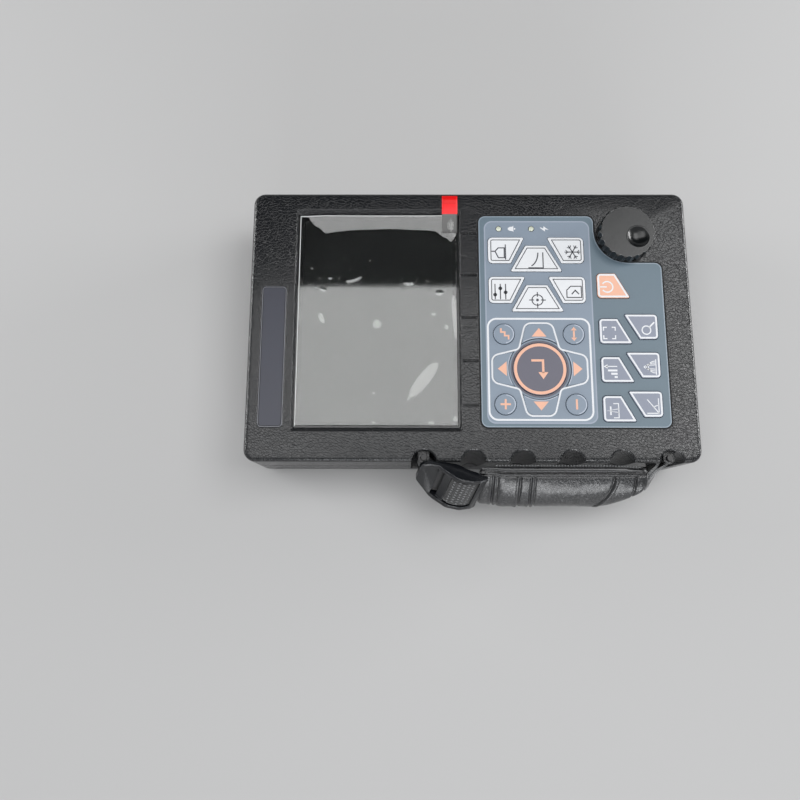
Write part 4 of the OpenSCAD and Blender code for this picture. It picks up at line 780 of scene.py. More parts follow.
# Pictograms, most about 8 mm wide, with their own up along +Y: kind of mark, width, points and turns
QUARTERS = (0, 90, 180, 270)
SIGNS = {
    "probe": [("line", 0.55, [(-4, -3), (4, -3)]),
              ("loop", 0.55, [(-3, -2.4), (-3, 0.6), (0.4, 2.2), (2.2, 0.6), (2.2, -2.4)]),
              ("line", 0.55, [(0.4, 2.4), (0.4, 4)])],
    "curve": [("line", 0.55, [(-4, 4), (-4, -3.4), (4.2, -3.4)]),
              ("line", 0.6, [(-3 + 0.7 * i, 3.6 * math.exp(-0.28 * i) - 1.2) for i in range(11)])],
    "flake": [("line", 0.5, [(0, -3.9), (0, 3.9)], (0, 60, 120)),
              ("line", 0.4, [(-1.1, 3.4), (0, 2.4), (1.1, 3.4)], range(0, 360, 60))],
    "sliders": [mark for row, knob in ((2.6, -1.6), (0, 1.7), (-2.6, -0.4))
                for mark in (("line", 0.5, [(-4, row), (4, row)]), ("disc", 0.95, [(knob, row)]))],
    "target": [("ring", (2.7, 0.5, 36), [(0, 0)]), ("disc", 0.7, [(0, 0)]),
               ("line", 0.5, [(0, 1.7), (0, 4.1)], QUARTERS)],
    "pages": [("loop", 0.5, [(-3, -3.6), (-3, 3.6), (0.8, 3.6), (2.8, 1.6), (2.8, -3.6)]),
              ("line", 0.6, [(-1.3, 1.2), (0.7, -0.6), (-1.3, -2.4)])],
    "full": [("line", 0.6, [(1.2, 3), (3, 3), (3, 1.2)], QUARTERS)],
    "lens": [("ring", (2.2, 0.6, 32), [(-0.8, 0.8)]), ("line", 0.8, [(0.8, -0.8), (3.4, -3.4)])],
    "gain": [("fill", 0, [(x, -3), (x + 1, -3), (x + 1, high), (x, high)])
             for x, high in ((-3.4, -1.4), (-1.7, 0.2), (0.0, 1.8))]
            + [("line", 0.5, [(2.6, -3), (2.6, 2.6)]), ("fill", 0, [(1.5, 1.9), (3.7, 1.9), (2.6, 3.9)])],
    "echoes": [("line", 0.42, [(wide * u, -2.6 + (tall + 1.6) * v) for u, v in arc(0, 0, 1, 0, 180, 9)])
               for tall, wide in ((4.2, 1.1), (3.1, 2.1), (2.0, 3.1))]
              + [("line", 0.45, [(-4, -2.9), (4, -2.9)])],
    "gate": [("line", 0.5, [(-3.6, 0), (-3.6, -2.6), (3.6, -2.6), (3.6, 0)]),
             ("line", 0.8, [(-2.2, 1.4), (2.2, 1.4)]), ("line", 0.4, [(-0.9, -2.6), (0, 3.4), (0.9, -2.6)])],
    "angle": [("line", 0.5, [(-3.6, 3), (-3.6, -3), (4, -3)]), ("line", 0.5, [(-3.6, -3), (3.4, 2.6)]),
              ("line", 0.45, arc(-3.6, -3, 4, 0, 39, 6))],
    "power": [("line", 0.85, arc(0, 0, 3.3, 125, 415, 24)), ("line", 0.85, [(0, 4.3), (0, 0.3)])],
    "enter": [("ring", (14.35, 1.75, 96), [(0, 0)]), ("line", 1.35, [(5, 5), (5, -1.8), (-2.4, -1.8)]),
              ("fill", 0, [(-2, -4.7), (-2, 1.1), (-6.2, -1.8)])],
    "steps": [("line", 1.0, [(-3.4, -2.6), (-1.1, -2.6), (-1.1, -0.4), (1.1, -0.4), (1.1, 1.8), (3.4, 1.8)])],
    "sides": [("line", 1.0, [(-2.4, 0), (2.4, 0)])]
             + [("fill", 0, [(side * 2.2, -1.7), (side * 4.2, 0), (side * 2.2, 1.7)]) for side in (-1, 1)],
    "minus": [("line", 1.15, [(-3, 0), (3, 0)])],
    "plus": [("line", 1.15, path)
             for path in ([(-3, 0), (3, 0)], [(0, -3), (0, -0.575)], [(0, 0.575), (0, 3)])],
}
MENU_SIGNS = [(0, 1, "probe"), (0, 0, "curve"), (0, -1, "flake"), (1, 1, "sliders"), (1, 0, "target"),
              (1, -1, "pages")]
FUNCTION_SIGNS = [(2, -1, "full"), (2, 1, "lens"), (1, -1, "gain"), (1, 1, "echoes"), (0, -1, "gate"),
                  (0, 1, "angle")]
CORNER_SIGNS = [(21, 20.5, "steps"), (21, -20.5, "sides"), (-21, 20.5, "plus"), (-21, -20.5, "minus")]


def draw(ink, sign, x, y, colour, size=1.0):
    """Prints a pictogram round a place on the face."""
    for kind, pen, path, *turns in SIGNS[sign]:
        for turn in turns[0] if turns else (0,):
            points = placed(path, x, y, size, turn)
            if kind == "fill":
                ink.area(points, colour)
            elif kind == "disc":
                ink.disc(*points[0], pen * size, colour)
            elif kind == "ring":
                r, width, steps = pen
                ink.ring(*points[0], r * size, width * size, colour, steps)
            else:
                ink.stroke(points, pen * size, colour, kind == "loop")


# Printed rims, between two insets from a key's outline, and how far its pictogram stands off its middle
MENU_RIM, FUNCTION_RIM, POWER_RIM = (1.35, 1.85), (0.3, 1.3), (0.3, 1.35)
SIGN_DROP, MENU_SIGN_SHIFT, FUNCTION_SIGN_SHIFT, POWER_SIGN_SHIFT = -1.2, 2.0, -1.7, (-0.8, 1.6)
MENU_SIGN_SIZE, FUNCTION_SIGN_SIZE = 1.2, 1.15


def print_key(name, key, corners, rim, colour, shift, sign, size, slot):
    """A key's printed rim and its pictogram, which stands a little off the middle."""
    ink = Print(name, KEY_TOP, f"{key}_body")
    points, radii = corners
    ink.outline(points, radii, *rim, colour)
    x, y = (sum(place) / len(points) for place in zip(*points))
    draw(ink, sign, x + shift[0], y + shift[1], colour, size)
    ink.piece(slot)


def print_menu_keys():
    for number, (row, side, sign) in enumerate(MENU_SIGNS, 1):
        print_key(f"menu_print_{number}", f"menu_key_{number}", menu_corners(row, side), MENU_RIM, "dark",
                  (SIGN_DROP, MENU_SIGN_SHIFT * side), sign, MENU_SIGN_SIZE, "white_key")


def print_function_keys():
    for number, (row, side, sign) in enumerate(FUNCTION_SIGNS, 1):
        print_key(f"function_print_{number}", f"function_key_{number}", function_corners(row, side),
                  FUNCTION_RIM, "white", (SIGN_DROP, FUNCTION_SIGN_SHIFT * side), sign, FUNCTION_SIGN_SIZE,
                  "grey_key")
    print_key("power_print", "power_key", function_corners(-1, -1), POWER_RIM, "white", POWER_SIGN_SHIFT,
              "power", 1.0, "power_key")


ARROW_BASE, ARROW_TIP, ARROW_HALF = 19.4, 24.6, 4.35
LOBE_ARC, LOBE_SPREAD = 18.75, 29
ARROWS = {"right": 0, "up": 90, "left": 180, "down": 270}


def print_navigation_keys():
    arrow = [(ARROW_BASE, -ARROW_HALF), (ARROW_TIP, 0), (ARROW_BASE, ARROW_HALF)]
    lobe = arc(0, 0, LOBE_ARC, -LOBE_SPREAD, LOBE_SPREAD, 16)
    for name, turn in ARROWS.items():
        ink = Print(f"arrow_print_{name}", KEY_TOP, f"arrow_key_{name}_body")
        ink.area(placed(arrow, *NAV, turn=turn), "orange")
        ink.stroke(placed(lobe, *NAV, turn=turn), 0.4, "pale")
        ink.piece("grey_key")
    ink = Print("enter_print", KEY_TOP, "enter_key_body")
    draw(ink, "enter", *NAV, "orange")
    ink.piece("enter_key")
    for number, (dx, dy, sign) in enumerate(CORNER_SIGNS, 1):
        x, y = NAV[0] + dx, NAV[1] + dy
        ink = Print(f"corner_print_{number}", KEY_TOP, f"corner_key_{number}_body")
        ink.stroke(arc(x, y, 5.5, -170, -5, 20), 0.5, "pale")
        draw(ink, sign, x, y, "orange")
        ink.piece("grey_key")


# Lines of the sheet: the frame round the arrow field, and the cross with round lobes in it
FRAME = [(-58.8, -70.6), (2.75, -70.6), (2.75, -9.7), (-58.8, -9.7)]
LOBE_OUT, LOBE_HALF, LOBE_R = 28.25, 8.3, 5.0
CROSS_INNER, CROSS_INNER_R = 12.35, 2.6
SHEET_EDGE = [(SHEET_RIGHT, -5.7), (FIELD_LEFT, -5.7), (FIELD_LEFT, SHEET_LOW), (37.2, SHEET_LOW),
              (37.2, -75.1), (SHEET_RIGHT, -75.1)]
SHEET_RADII = [4, 4, 4, 4, 20, 4]
BELL = [(-1.7, -1.2), (-1.25, -0.6), (-1.1, 0.7), (-0.55, 1.6), (0, 1.85), (0.55, 1.6), (1.1, 0.7),
        (1.25, -0.6), (1.7, -1.2)]
BOLT = [(0.4, 2.2), (-1.5, -0.3), (-0.2, -0.3), (-0.6, -2.2), (1.5, 0.5), (0.2, 0.5), (0.9, 2.2)]
LAMP_SIGN_X, BELL_Y, CLAPPER_Y, BOLT_Y, LAMP_SIGN_SIZE = 58.85, -25.5, -27.6, -45.6, 1.15
PLATE_EDGE = [(FIELD_LEFT, 109.5), (22.0, 109.5), (22.0, 123.7), (FIELD_LEFT, 123.7)]


def print_sheet():
    """Lines on the keypad sheet, a dark band of painted shadow round it, and the two signs beside the lamps.
    """
    ink = Print("sheet_print", SHEET_TOP, BODY)
    ink.outline(FRAME, [5.6] * 4, 0, 1.1, "white")
    lobe = [(LOBE_OUT, -LOBE_HALF), (LOBE_OUT, LOBE_HALF), (CROSS_INNER, CROSS_INNER)]
    cross = [point for turn in QUARTERS for point in placed(lobe, *NAV, turn=turn)]
    ink.outline(cross, [LOBE_R, LOBE_R, CROSS_INNER_R] * 4, 0, 1.0, "white")
    ink.outline(SHEET_EDGE, SHEET_RADII, 0.1, 0.6, "lip")
    ink.area(placed(BELL, LAMP_SIGN_X, BELL_Y, LAMP_SIGN_SIZE), "white")
    ink.disc(LAMP_SIGN_X, CLAPPER_Y, 0.5, "white", 12)
    ink.area(placed(BOLT, LAMP_SIGN_X, BOLT_Y, LAMP_SIGN_SIZE), "white")
    ink.piece("overlay")
    # A dark band of painted shadow on the face, round the sheet's edge.
    gap_shade = Print("sheet_shadow_band", FACE_TOP, BODY)
    gap_shade.outline(SHEET_EDGE, SHEET_RADII, -0.9, -0.05, "gap_shade")
    gap_shade.piece("case")
    collar = Print("enter_collar", SHEET_TOP - 0.15, BODY)
    collar.ring(*NAV, 16.5, 1.1, "disc")
    collar.piece("overlay")


def print_plate():
    """A thin line and a dark band of painted shadow round the bare name plate."""
    ink = Print("plate_line", PLATE_TOP, BODY)
    ink.outline(PLATE_EDGE, [2.2] * 4, 0.02, 0.3, "trim")
    # Painted shadow: a dark band just inside the plate's thin line.
    ink.outline(PLATE_EDGE, [2.2] * 4, 0.3, 0.7, "gap_shade")
    ink.piece("plate")


print_menu_keys()
print_function_keys()
print_navigation_keys()
print_sheet()
print_plate()

GROOVE_FIRST_X, GROOVE_PITCH, GROOVE_Y = -49.6, 26.4, (-4.3, 5.1)
BEAD_Z, BEAD_HALF = 51.55, 0.24


def make_groove_beads():
    """A fine raised line along the middle of each groove in the strip between window and keypad."""
    for k in range(5):
        x = GROOVE_FIRST_X + k * GROOVE_PITCH
        thin_bar(f"groove_line_{k + 1}", [(x, y, BEAD_Z) for y in GROOVE_Y], BEAD_HALF, "case")


# Film on the window
FILM_X = (-61.6, 68.0)
FILM_Y = (7.5, 102.5)
FILM_LOW = GLASS_TOP + 0.06
FILM_CELL = 0.5
LIFT_EDGE = [(7.4, 55.6), (10.7, 51.6), (14.4, 54.4), (21, 58.4), (30, 59.1), (47, 59.8), (69, 59.2),
             (80, 58.0), (86.8, 57.0), (92.9, 61.3), (99.1, 67.3), (103, 68.2)]
LIFT_SLOPE = 0.085
BAND_AIR = 0.2
BUBBLE_LIFT = 0.035
# Bubbles under the film: place, half length, half width, turn in degrees
BUBBLES = [
    (-34.2, 27.6, 13.2, 3.6, 142), (-0.4, 55.2, 2.6, 2.4, 0), (28.4, 69.4, 5.2, 2.1, 112),
    (25.6, 36.6, 2.9, 1.7, 90), (18.9, 17.9, 2.2, 1.6, 90), (5.9, 21.5, 1.2, 1.1, 0),
    (-2.2, 13.8, 1.4, 1.3, 0), (3.2, 88.4, 3.2, 1.5, 20), (21.1, 87.9, 1.9, 1.2, 60),
    (28.7, 83.7, 1.2, 0.9, 90), (-16.9, 28.5, 0.6, 0.6, 0), (-42.2, 56.9, 0.7, 0.7, 0),
    (-49.7, 65.1, 0.6, 0.6, 0), (-55.5, 61.9, 0.6, 0.6, 0), (-59.6, 57.2, 1.0, 0.9, 0),
    (-45.6, 36.4, 0.9, 0.8, 0), (-57.6, 9.4, 1.8, 1.2, 0), (-60.0, 23.6, 1.9, 1.2, 90),
    (13.0, 81.3, 0.6, 0.6, 0), (4.5, 9.0, 14.0, 1.5, 3), (40.0, 60.0, 0.8, 0.8, 0),
    (46.0, 44.0, 0.9, 0.7, 0), (35.0, 95.0, 0.8, 0.7, 0), (-20.0, 80.0, 0.6, 0.6, 0),
]


def thin_bar(name, path, half, finish):
    """A square bar along a path, in millimetres."""
    verts = []
    (x0, y0, _), (x1, y1, _) = path[:2]
    dx, dy = (0, half) if abs(x1 - x0) > abs(y1 - y0) else (half, 0)
    for x, y, z in path:
        verts += [(x - dx, y - dy, z - half), (x + dx, y + dy, z - half), (x + dx, y + dy, z + half),
                  (x - dx, y - dy, z + half)]
    last = 4 * len(path) - 4
    faces = quads(len(path) - 1, 4) + [(3, 2, 1, 0), (last, last + 1, last + 2, last + 3)]
    recalculate(new_piece(name, verts, faces, [finish], BODY))


def lift_edge(y):
    for (y0, x0), (y1, x1) in zip(LIFT_EDGE, LIFT_EDGE[1:]):
        if y <= y1:
            t = max(0.0, (y - y0) / (y1 - y0))
            t = t * t * (3 - 2 * t)
            return x0 + (x1 - x0) * t
    return LIFT_EDGE[-1][1]


def film_point(x, y):
    """Height of the film over the glass and how much air lies under it."""
    over = x - lift_edge(y)
    lift = max(0.0, over) * LIFT_SLOPE
    air = BAND_AIR if over > 0 else 0.0
    for cx, cy, long, wide, turn in BUBBLES:
        c, s = math.cos(math.radians(turn)), math.sin(math.radians(turn))
        u, v = (x - cx) * c + (y - cy) * s, -(x - cx) * s + (y - cy) * c
        reach = (u / long) ** 2 + (v / wide) ** 2
        if reach < 1:
            lift = max(lift, BUBBLE_LIFT * (1 - reach) ** 0.5)
            air = 1.0
    return lift, air


def make_film():
    xs = spread(FILM_X, round((FILM_X[1] - FILM_X[0]) / FILM_CELL))
    ys = spread(FILM_Y, round((FILM_Y[1] - FILM_Y[0]) / FILM_CELL))
    verts, air = [], []
    for y in ys:
        for x in xs:
            lift, under = film_point(x, y)
            verts.append((x, y, FILM_LOW + lift))
            air.append(under)
    film = new_piece("window_film", verts, quads(len(ys) - 1, len(xs), closed=False), ["film"], None,
                     smooth=50)
    film.data.attributes.new("air", "FLOAT", "POINT").data.foreach_set("value", air)
    thicken(film, 0.1, 1.0)
    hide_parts("screen_film")
    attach(film, BODY)
    # Pale bars of painted highlight along the film's two free edges.
    edge = [(FILM_X[1] - 0.05, y, FILM_LOW + film_point(FILM_X[1], y)[0] + 0.05) for y in spread(FILM_Y, 40)]
    thin_bar("film_edge_highlight", edge, 0.22, "edge")
    side = [(x, FILM_Y[1] - 0.05, FILM_LOW + film_point(x, FILM_Y[1])[0] + 0.05) for x in spread(FILM_X, 40)]
    thin_bar("film_side_highlight", side, 0.2, "edge")


TAB_PROFILE = [(57.2, 50.02), (60, 50.08), (63, 50.3), (66, 50.75), (68.2, 51.3), (70, 51.95), (71.6, 52.3),
               (74, 52.38), (77, 52.5), (79.9, 52.85)]
TAB_Y, TAB_CELLS = (6.9, 16.3), 8


def make_tab():
    """The pull tab: it lies on the film, climbs the window's edge and bends up a little at its free end."""
    verts = []
    for x, z in TAB_PROFILE:
        for k, y in enumerate(spread(TAB_Y, TAB_CELLS)):
            sag = 0.12 * math.sin(math.pi * k / TAB_CELLS) * (1 if x > FILM_X[1] else 0.3)
            verts.append((x, y, z + sag))
    faces = quads(len(TAB_PROFILE) - 1, TAB_CELLS + 1, closed=False, flip=True)
    tab = new_piece("film_tab", verts, faces, ["tab"], None, smooth=60)
    thicken(tab, 0.12, 1.0)
    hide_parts("film_pull_tab")
    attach(tab, BODY)


make_groove_beads()
make_film()
make_tab()


# Knob
KNOB_R, KNOB_HEIGHT, KNOB_LOW, KNOB_TOP = 16.5, 8.0, 52.6, 60.6
FLUTES, FLUTE_R, FLUTE_OUT = 22, 1.9, 0.9
KNOB_EDGE, FLUTE_DEPTH, POINTS_PER_FLUTE = 0.7, 1.6, 14
DIMPLE, DIMPLE_RIM = (-3.3, -5.9, 6.4, 2.6), 0.6
NUT_ROOM_R, NUT_ROOM_H, SHAFT_HOLE_R, SHAFT_UP = 7.6, 2.6, 3.05, 4.6


def flute_radius(turn, r):
    step = 2 * math.pi / FLUTES
    away = (turn + step / 2) % step - step / 2
    centre = KNOB_R + FLUTE_OUT
    inside = FLUTE_R ** 2 - (centre * math.sin(away)) ** 2
    if inside <= 0:
        return r
    return min(r, centre * math.cos(away) - math.sqrt(inside))


def knob_rings():
    """Radius and height of each ring of the knob: from the shaft's hole round the rim to its top's middle."""
    rings = [(0.0, SHAFT_UP), (SHAFT_HOLE_R, SHAFT_UP), (SHAFT_HOLE_R, NUT_ROOM_H), (NUT_ROOM_R, NUT_ROOM_H),
             (NUT_ROOM_R, 0.0), (KNOB_R - 0.5, 0.0), (KNOB_R, 0.5)]
    rings += [(KNOB_R, 0.5 + 6.6 * i / 6) for i in range(1, 7)]
    for a in (22, 45, 68, 90):
        away, up = 1 - math.cos(math.radians(a)), 1 - math.sin(math.radians(a))
        rings.append((KNOB_R - KNOB_EDGE * away, KNOB_HEIGHT - KNOB_EDGE * up))
    return rings + [(KNOB_R - KNOB_EDGE - 0.32 * i, KNOB_HEIGHT) for i in range(1, 49)]


def dimple_depth(x, y):
    """Depth of the finger dimple at a place on the knob's top, with a faint raised rim round it."""
    at_x, at_y, r, deep = DIMPLE
    ball = (r ** 2 + deep ** 2) / (2 * deep)
    away = math.hypot(x - at_x, y - at_y)
    if away < r:
        return math.sqrt(ball ** 2 - away ** 2) - (ball - deep)
    if away < r + DIMPLE_RIM:
        return -0.05 * math.sin(math.pi * (away - r) / DIMPLE_RIM)
    return 0.0


def make_knob():
    around = FLUTES * POINTS_PER_FLUTE
    rings = knob_rings()
    verts = [(*KNOB, KNOB_LOW + SHAFT_UP)]
    for r, z in rings[1:]:
        for k in range(around):
            turn = 2 * math.pi * k / around
            out = r
            if KNOB_R - FLUTE_DEPTH < r < KNOB_R - KNOB_EDGE:
                out = min(r, flute_radius(turn, KNOB_R) - 0.2)
            elif r > KNOB_R - FLUTE_DEPTH:
                out = flute_radius(turn, r)
            x, y = out * math.cos(turn), out * math.sin(turn)
            low = dimple_depth(x, y) if z == KNOB_HEIGHT else 0.0
            verts.append((KNOB[0] + x, KNOB[1] + y, KNOB_LOW + z - low))
    verts.append((*KNOB, KNOB_TOP))
    last = len(verts) - 1 - around
    faces = [(0, 1 + k, 1 + (k + 1) % around) for k in range(around)]
    faces += quads(len(rings) - 2, around, flip=True, first=1)
    faces += [(last + k, len(verts) - 1, last + (k + 1) % around) for k in range(around)]
    knob = new_piece("fluted_knob", verts, faces, ["knob"], None, smooth=38)
    recalculate(knob)
    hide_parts("knob")
    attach(knob, "knob_unit")


make_knob()


# Hand strap
def from_strap(depth_in, along_y, across):
    """A point of the strap's own frame in the instrument's frame, in millimetres."""
    c, s = math.cos(STRAP_LEAN), math.sin(STRAP_LEAN)
    return (STRAP_ORIGIN.x + depth_in * c + across * s, along_y, STRAP_ORIGIN.z - depth_in * s + across * c)


def to_strap(point):
    c, s = math.cos(STRAP_LEAN), math.sin(STRAP_LEAN)
    x, z = point[0] - STRAP_ORIGIN.x, point[2] - STRAP_ORIGIN.z
    return x * c - z * s, point[1], x * s + z * c


def ease(t):
    t = max(0.0, min(1.0, t))
    return t * t * (3 - 2 * t)


PAD_FRONT, PAD_FRONT_NEAR, PAD_BACK = 6.9, 4.4, 2.4
PAD_LOW, PAD_HIGH = -13.2, 20.0
CUT_START, CUT_LENGTH, CUT_RISE, CUT_BEND = 66.0, 28.0, 15.0, 2.2
NOSE_LENGTH, HEAD_LENGTH = 6.0, 4.0
DIP_START, DIP_LENGTH, DIP_DEPTH = 70.0, 28.0, 2.0
# How far the rounded ends draw in: from below, from above, and their share of the thickness
NOSE_DRAW, HEAD_DRAW, END_SHARE = (3.5, 2.5), (3.0, 1.5), 0.62
PAD_RINGS, PAD_AROUND = 70, 44
SIDE_POWER, FRONT_POWER, LOWER_SHARE = 0.85, 0.9, 0.45


def pad_edges(s):
    """Lower and upper edge of the pad at a distance from its upper end, and how far its ends draw in."""
    cut = CUT_RISE * max(0.0, (s - CUT_START) / CUT_LENGTH) ** CUT_BEND
    dip = DIP_DEPTH * max(0.0, (s - DIP_START) / DIP_LENGTH) ** 2
    tail = max(0.0, (s - PAD_LENGTH + NOSE_LENGTH) / NOSE_LENGTH)
    head = max(0.0, (HEAD_LENGTH - s) / HEAD_LENGTH)
    nose = 1 - math.sqrt(max(0.0, 1 - tail * tail))
    start = 1 - math.sqrt(max(0.0, 1 - head * head))
    low = PAD_LOW + cut + NOSE_DRAW[0] * nose + HEAD_DRAW[0] * start
    high = PAD_HIGH - dip - NOSE_DRAW[1] * nose - HEAD_DRAW[1] * start
    return low, high, 1 - END_SHARE * max(nose, start)


def pad_base(scale, shrink):
    """The pad's plain crowned form: its front swells most below the middle."""
    verts = []
    for s in spread((0, PAD_LENGTH), PAD_RINGS):
        low, high, full = pad_edges(s)
        half, centre = (high - low) / 2 - shrink, (high + low) / 2
        front = PAD_FRONT_NEAR + (PAD_FRONT - PAD_FRONT_NEAR) * ease((s - 7) / 8)
        y = PAD_TOP_Y - min(max(s, shrink), PAD_LENGTH - shrink)
        for k in range(PAD_AROUND):
            turn = 2 * math.pi * k / PAD_AROUND
            up, out = math.cos(turn), math.sin(turn)
            across = math.copysign(abs(up) ** SIDE_POWER, up)
            if out > 0:
                x = -(front - shrink) * full * abs(out) ** FRONT_POWER * (1 - LOWER_SHARE * across)
            else:
                x = (PAD_BACK - shrink) * full * abs(out) ** FRONT_POWER
            verts.append(tuple(c * scale for c in (x, y, centre + half * across)))
    last = PAD_RINGS * PAD_AROUND
    ends = [tuple(range(PAD_AROUND - 1, -1, -1)), tuple(range(last, last + PAD_AROUND))]
    return verts, quads(PAD_RINGS, PAD_AROUND, flip=True) + ends


# Seams across the front: place at the edge seam, sweep towards the lower edge, depth; then raised folds
CROSS_SEAMS = [(8.5, 0.5, 0.6), (10.9, 0.5, 0.6), (24.2, 0.0, 1.0), (30.2, 1.0, 0.8), (32.5, 1.5, 0.75),
               (77.8, -11.5, 1.0), (89.8, 0.0, 0.9)]
CROSS_FOLDS = [(7.2, 0.5, 0.4), (9.8, 0.5, 0.3), (22.5, 0.0, 0.5), (28.9, 1.0, 0.35), (31.3, 1.2, 0.45),
               (79.6, -11.5, 0.4)]
SEAM_WIDTH, FOLD_WIDTH = 0.55, 0.8
EDGE_SEAM_SHARE, RIB_SHARE, RIB_LINE_SHARE = 0.84, 0.775, 0.70


def bell(away, width):
    return math.exp(-(away / width) ** 2)


def seam_field(s, w):
    """Seam depth, raised fold height and share of the smooth upper band at a place on the pad's front."""
    low, high, _ = pad_edges(s)
    half = max(1.0, (high - low) / 2)
    across = (w - (high + low) / 2) / half
    deep, fold = 0.0, 0.0
    if across < RIB_LINE_SHARE:
        drop = (RIB_LINE_SHARE - across) / (1 + RIB_LINE_SHARE)
        for at, sweep, depth in CROSS_SEAMS:
            deep = max(deep, depth * bell(s - at - sweep * drop * drop, SEAM_WIDTH))
        for at, sweep, height in CROSS_FOLDS:
            fold = max(fold, height * bell(s - at - sweep * drop * drop, FOLD_WIDTH))
    deep = max(deep, bell((across - EDGE_SEAM_SHARE) * half, 0.55),
               0.6 * bell((across - RIB_LINE_SHARE) * half, 0.45))
    fold = max(fold, 0.35 * bell((across - RIB_SHARE) * half, 0.9))
    return deep, fold, ease((across - EDGE_SEAM_SHARE) * half / 0.8 + 0.5)


SIM_SCALE = 0.01
SWELL_LIMIT, SWELL_FRAMES = 0.7, 18
SHELL_INSET, SHELL_VOXEL = 0.35, 0.013
BACK_HELD, LEAST_HELD = 0.8, 0.02
CLOTH_SETTINGS = {"quality": 6, "mass": 0.3, "tension_stiffness": 12, "compression_stiffness": 12,
                  "bending_stiffness": 0.4, "use_pressure": True, "uniform_pressure_force": 4.0,
                  "vertex_group_mass": "held"}
# Small pleats by the seams: height, waves along and across the pad, and place in the noise
PLEATS = [(0.35, 0.16, 0.10, 3.1), (0.16, 0.5, 0.22, 7.7)]
SEAM_SHARE, CALM_SHARE = 0.9, 0.6
FRONT_START, FRONT_BLEND = 0.8, 1.6


def puffed_pad():
    """The padding swells under its leather: a cloth shell with air pressure, at ten times its size."""
    shell = mesh_object("pad_shell", *pad_base(SIM_SCALE, SHELL_INSET), scale=1.0)
    recalculate(shell)
    shell.data.remesh_voxel_size = SHELL_VOXEL
    bpy.context.view_layer.objects.active = shell
    shell.select_set(True)
    bpy.ops.object.voxel_remesh()
    rest = [v.co.copy() for v in shell.data.vertices]
    pins = shell.vertex_groups.new(name="held")
    for v in shell.data.vertices:
        deep, _, _ = seam_field(PAD_TOP_Y - v.co.y / SIM_SCALE, v.co.z / SIM_SCALE)
        held = min(1.0, deep) if v.co.x < 0 else BACK_HELD
        pins.add([v.index], max(held, LEAST_HELD), "REPLACE")
    cloth = shell.modifiers.new("cloth", "CLOTH")
    for key, value in CLOTH_SETTINGS.items():
        setattr(cloth.settings, key, value)
    cloth.settings.effector_weights.gravity = 0
    cloth.point_cache.frame_start, cloth.point_cache.frame_end = 1, SWELL_FRAMES
    for number in range(1, SWELL_FRAMES + 1):
        scene.frame_set(number)
    swollen = applied(shell)
    limit = SWELL_LIMIT * SIM_SCALE
    points = []
    for v, start in zip(swollen.vertices, rest):
        move = v.co - start
        if move.length > limit:
            move *= limit / move.length
        points.append((start + move) / SIM_SCALE)
    faces = [tuple(p.vertices) for p in swollen.polygons]
    bpy.data.objects.remove(shell)
    scene.frame_set(1)
    return points, faces


def make_pad():
    points, faces = puffed_pad()
    pad = mesh_object("strap_cushion", [from_strap(*p) for p in points], faces)
    recalculate(pad)
    divide = pad.modifiers.new("finer", "SUBSURF")
    divide.levels = divide.render_levels = 2
    finer = apply_modifiers(pad)
    seam_shade_values, bands = [], []
    normals = [v.normal.copy() for v in finer.vertices]
    for v, outwards in zip(finer.vertices, normals):
        depth, y, w = to_strap(v.co / MM)
        s = PAD_TOP_Y - y
        front = ease((FRONT_START - depth) / FRONT_BLEND)
        deep, fold, band = seam_field(s, w)
        pleat = sum(height * noise.noise(Vector((s * a, w * b, c))) for height, a, b, c in PLEATS)
        near = min(1.0, deep + 0.35)
        move = (fold - deep * SEAM_SHARE + pleat * near * (1 - CALM_SHARE * band)) * front
        # How much painted shade darkens each point: most in the seam grooves.
        seam_shade_values.append(min(1.0, deep ** 1.5 * front * 1.1))
        bands.append(band)
        v.co += outwards * (move * MM)
    for name, values in (("seam", seam_shade_values), ("band", bands)):
        finer.attributes.new(name, "FLOAT", "POINT").data.foreach_set("value", values)
    finer.materials.clear()
    finer.materials.append(FINISHES["leather"])
    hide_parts("strap_pad")
    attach(pad, STRAP_BODY)


make_pad()


# Webbing: a doubled band from the pad round an anchor pin
WEB_WIDTH, WEB_THICK, WEB_GAP = 20.0, 1.5, 0.2
PIN_R = 1.6
LOOP_R = PIN_R + WEB_GAP + WEB_THICK / 2
PAIR_GAP = WEB_THICK / 2 + WEB_GAP / 2
WEB_Z = 30.0
PIN_X = -79.6
LOWER_PIN, UPPER_PIN = (PIN_X, -113.9), (PIN_X, 27.6)
LOWER_FAR, UPPER_FAR = (-96.43, -102.45), (-96.43, -3.75)
UPPER_KNEE = (-86.3, 20.0)
EDGE_TEETH, TOOTH_DEPTH = 1.6, 0.4
LOWER_NARROW, LOWER_RISE = 0.5, 5.5


def web_path(far, knee, pin, direction, steps=28, turns=18):
    """Places along the band: middle of the pair, height, heading, lean and shift to the band's own side."""
    far, knee, pin = Vector(far), Vector(knee), Vector(pin)
    l0, l1 = (knee - far).length, (pin - knee).length
    a0, a1 = math.atan2(*(knee - far).yx), math.atan2(*(pin - knee).yx)
    knee_at = l0 / (l0 + l1)
    go = []
    for i in range(2 * steps + 1):
        first = i <= steps
        u = i / steps if first else i / steps - 1
        t = knee_at * u if first else knee_at + (1 - knee_at) * u
        place = far.lerp(knee, u) if first else knee.lerp(pin, u)
        angle = a0 + (a1 - a0) * ease((i - steps + 8) / 16)
        if i < 3:
            angle += (math.radians(90) * direction - a0) * (1 - i / 3)
        shift = PAIR_GAP if first else PAIR_GAP + (LOOP_R - PAIR_GAP) * u
        go.append((place, STRAP_ORIGIN.z + (WEB_Z - STRAP_ORIGIN.z) * ease(t), angle,
                   STRAP_LEAN * (1 - ease(t)), shift))
    turn = [(pin, WEB_Z, a1 + math.pi * i / turns, 0.0, LOOP_R) for i in range(1, turns)]
    back = [(p, z, a + math.pi, lean, shift) for p, z, a, lean, shift in reversed(go)]
    return go + turn + back


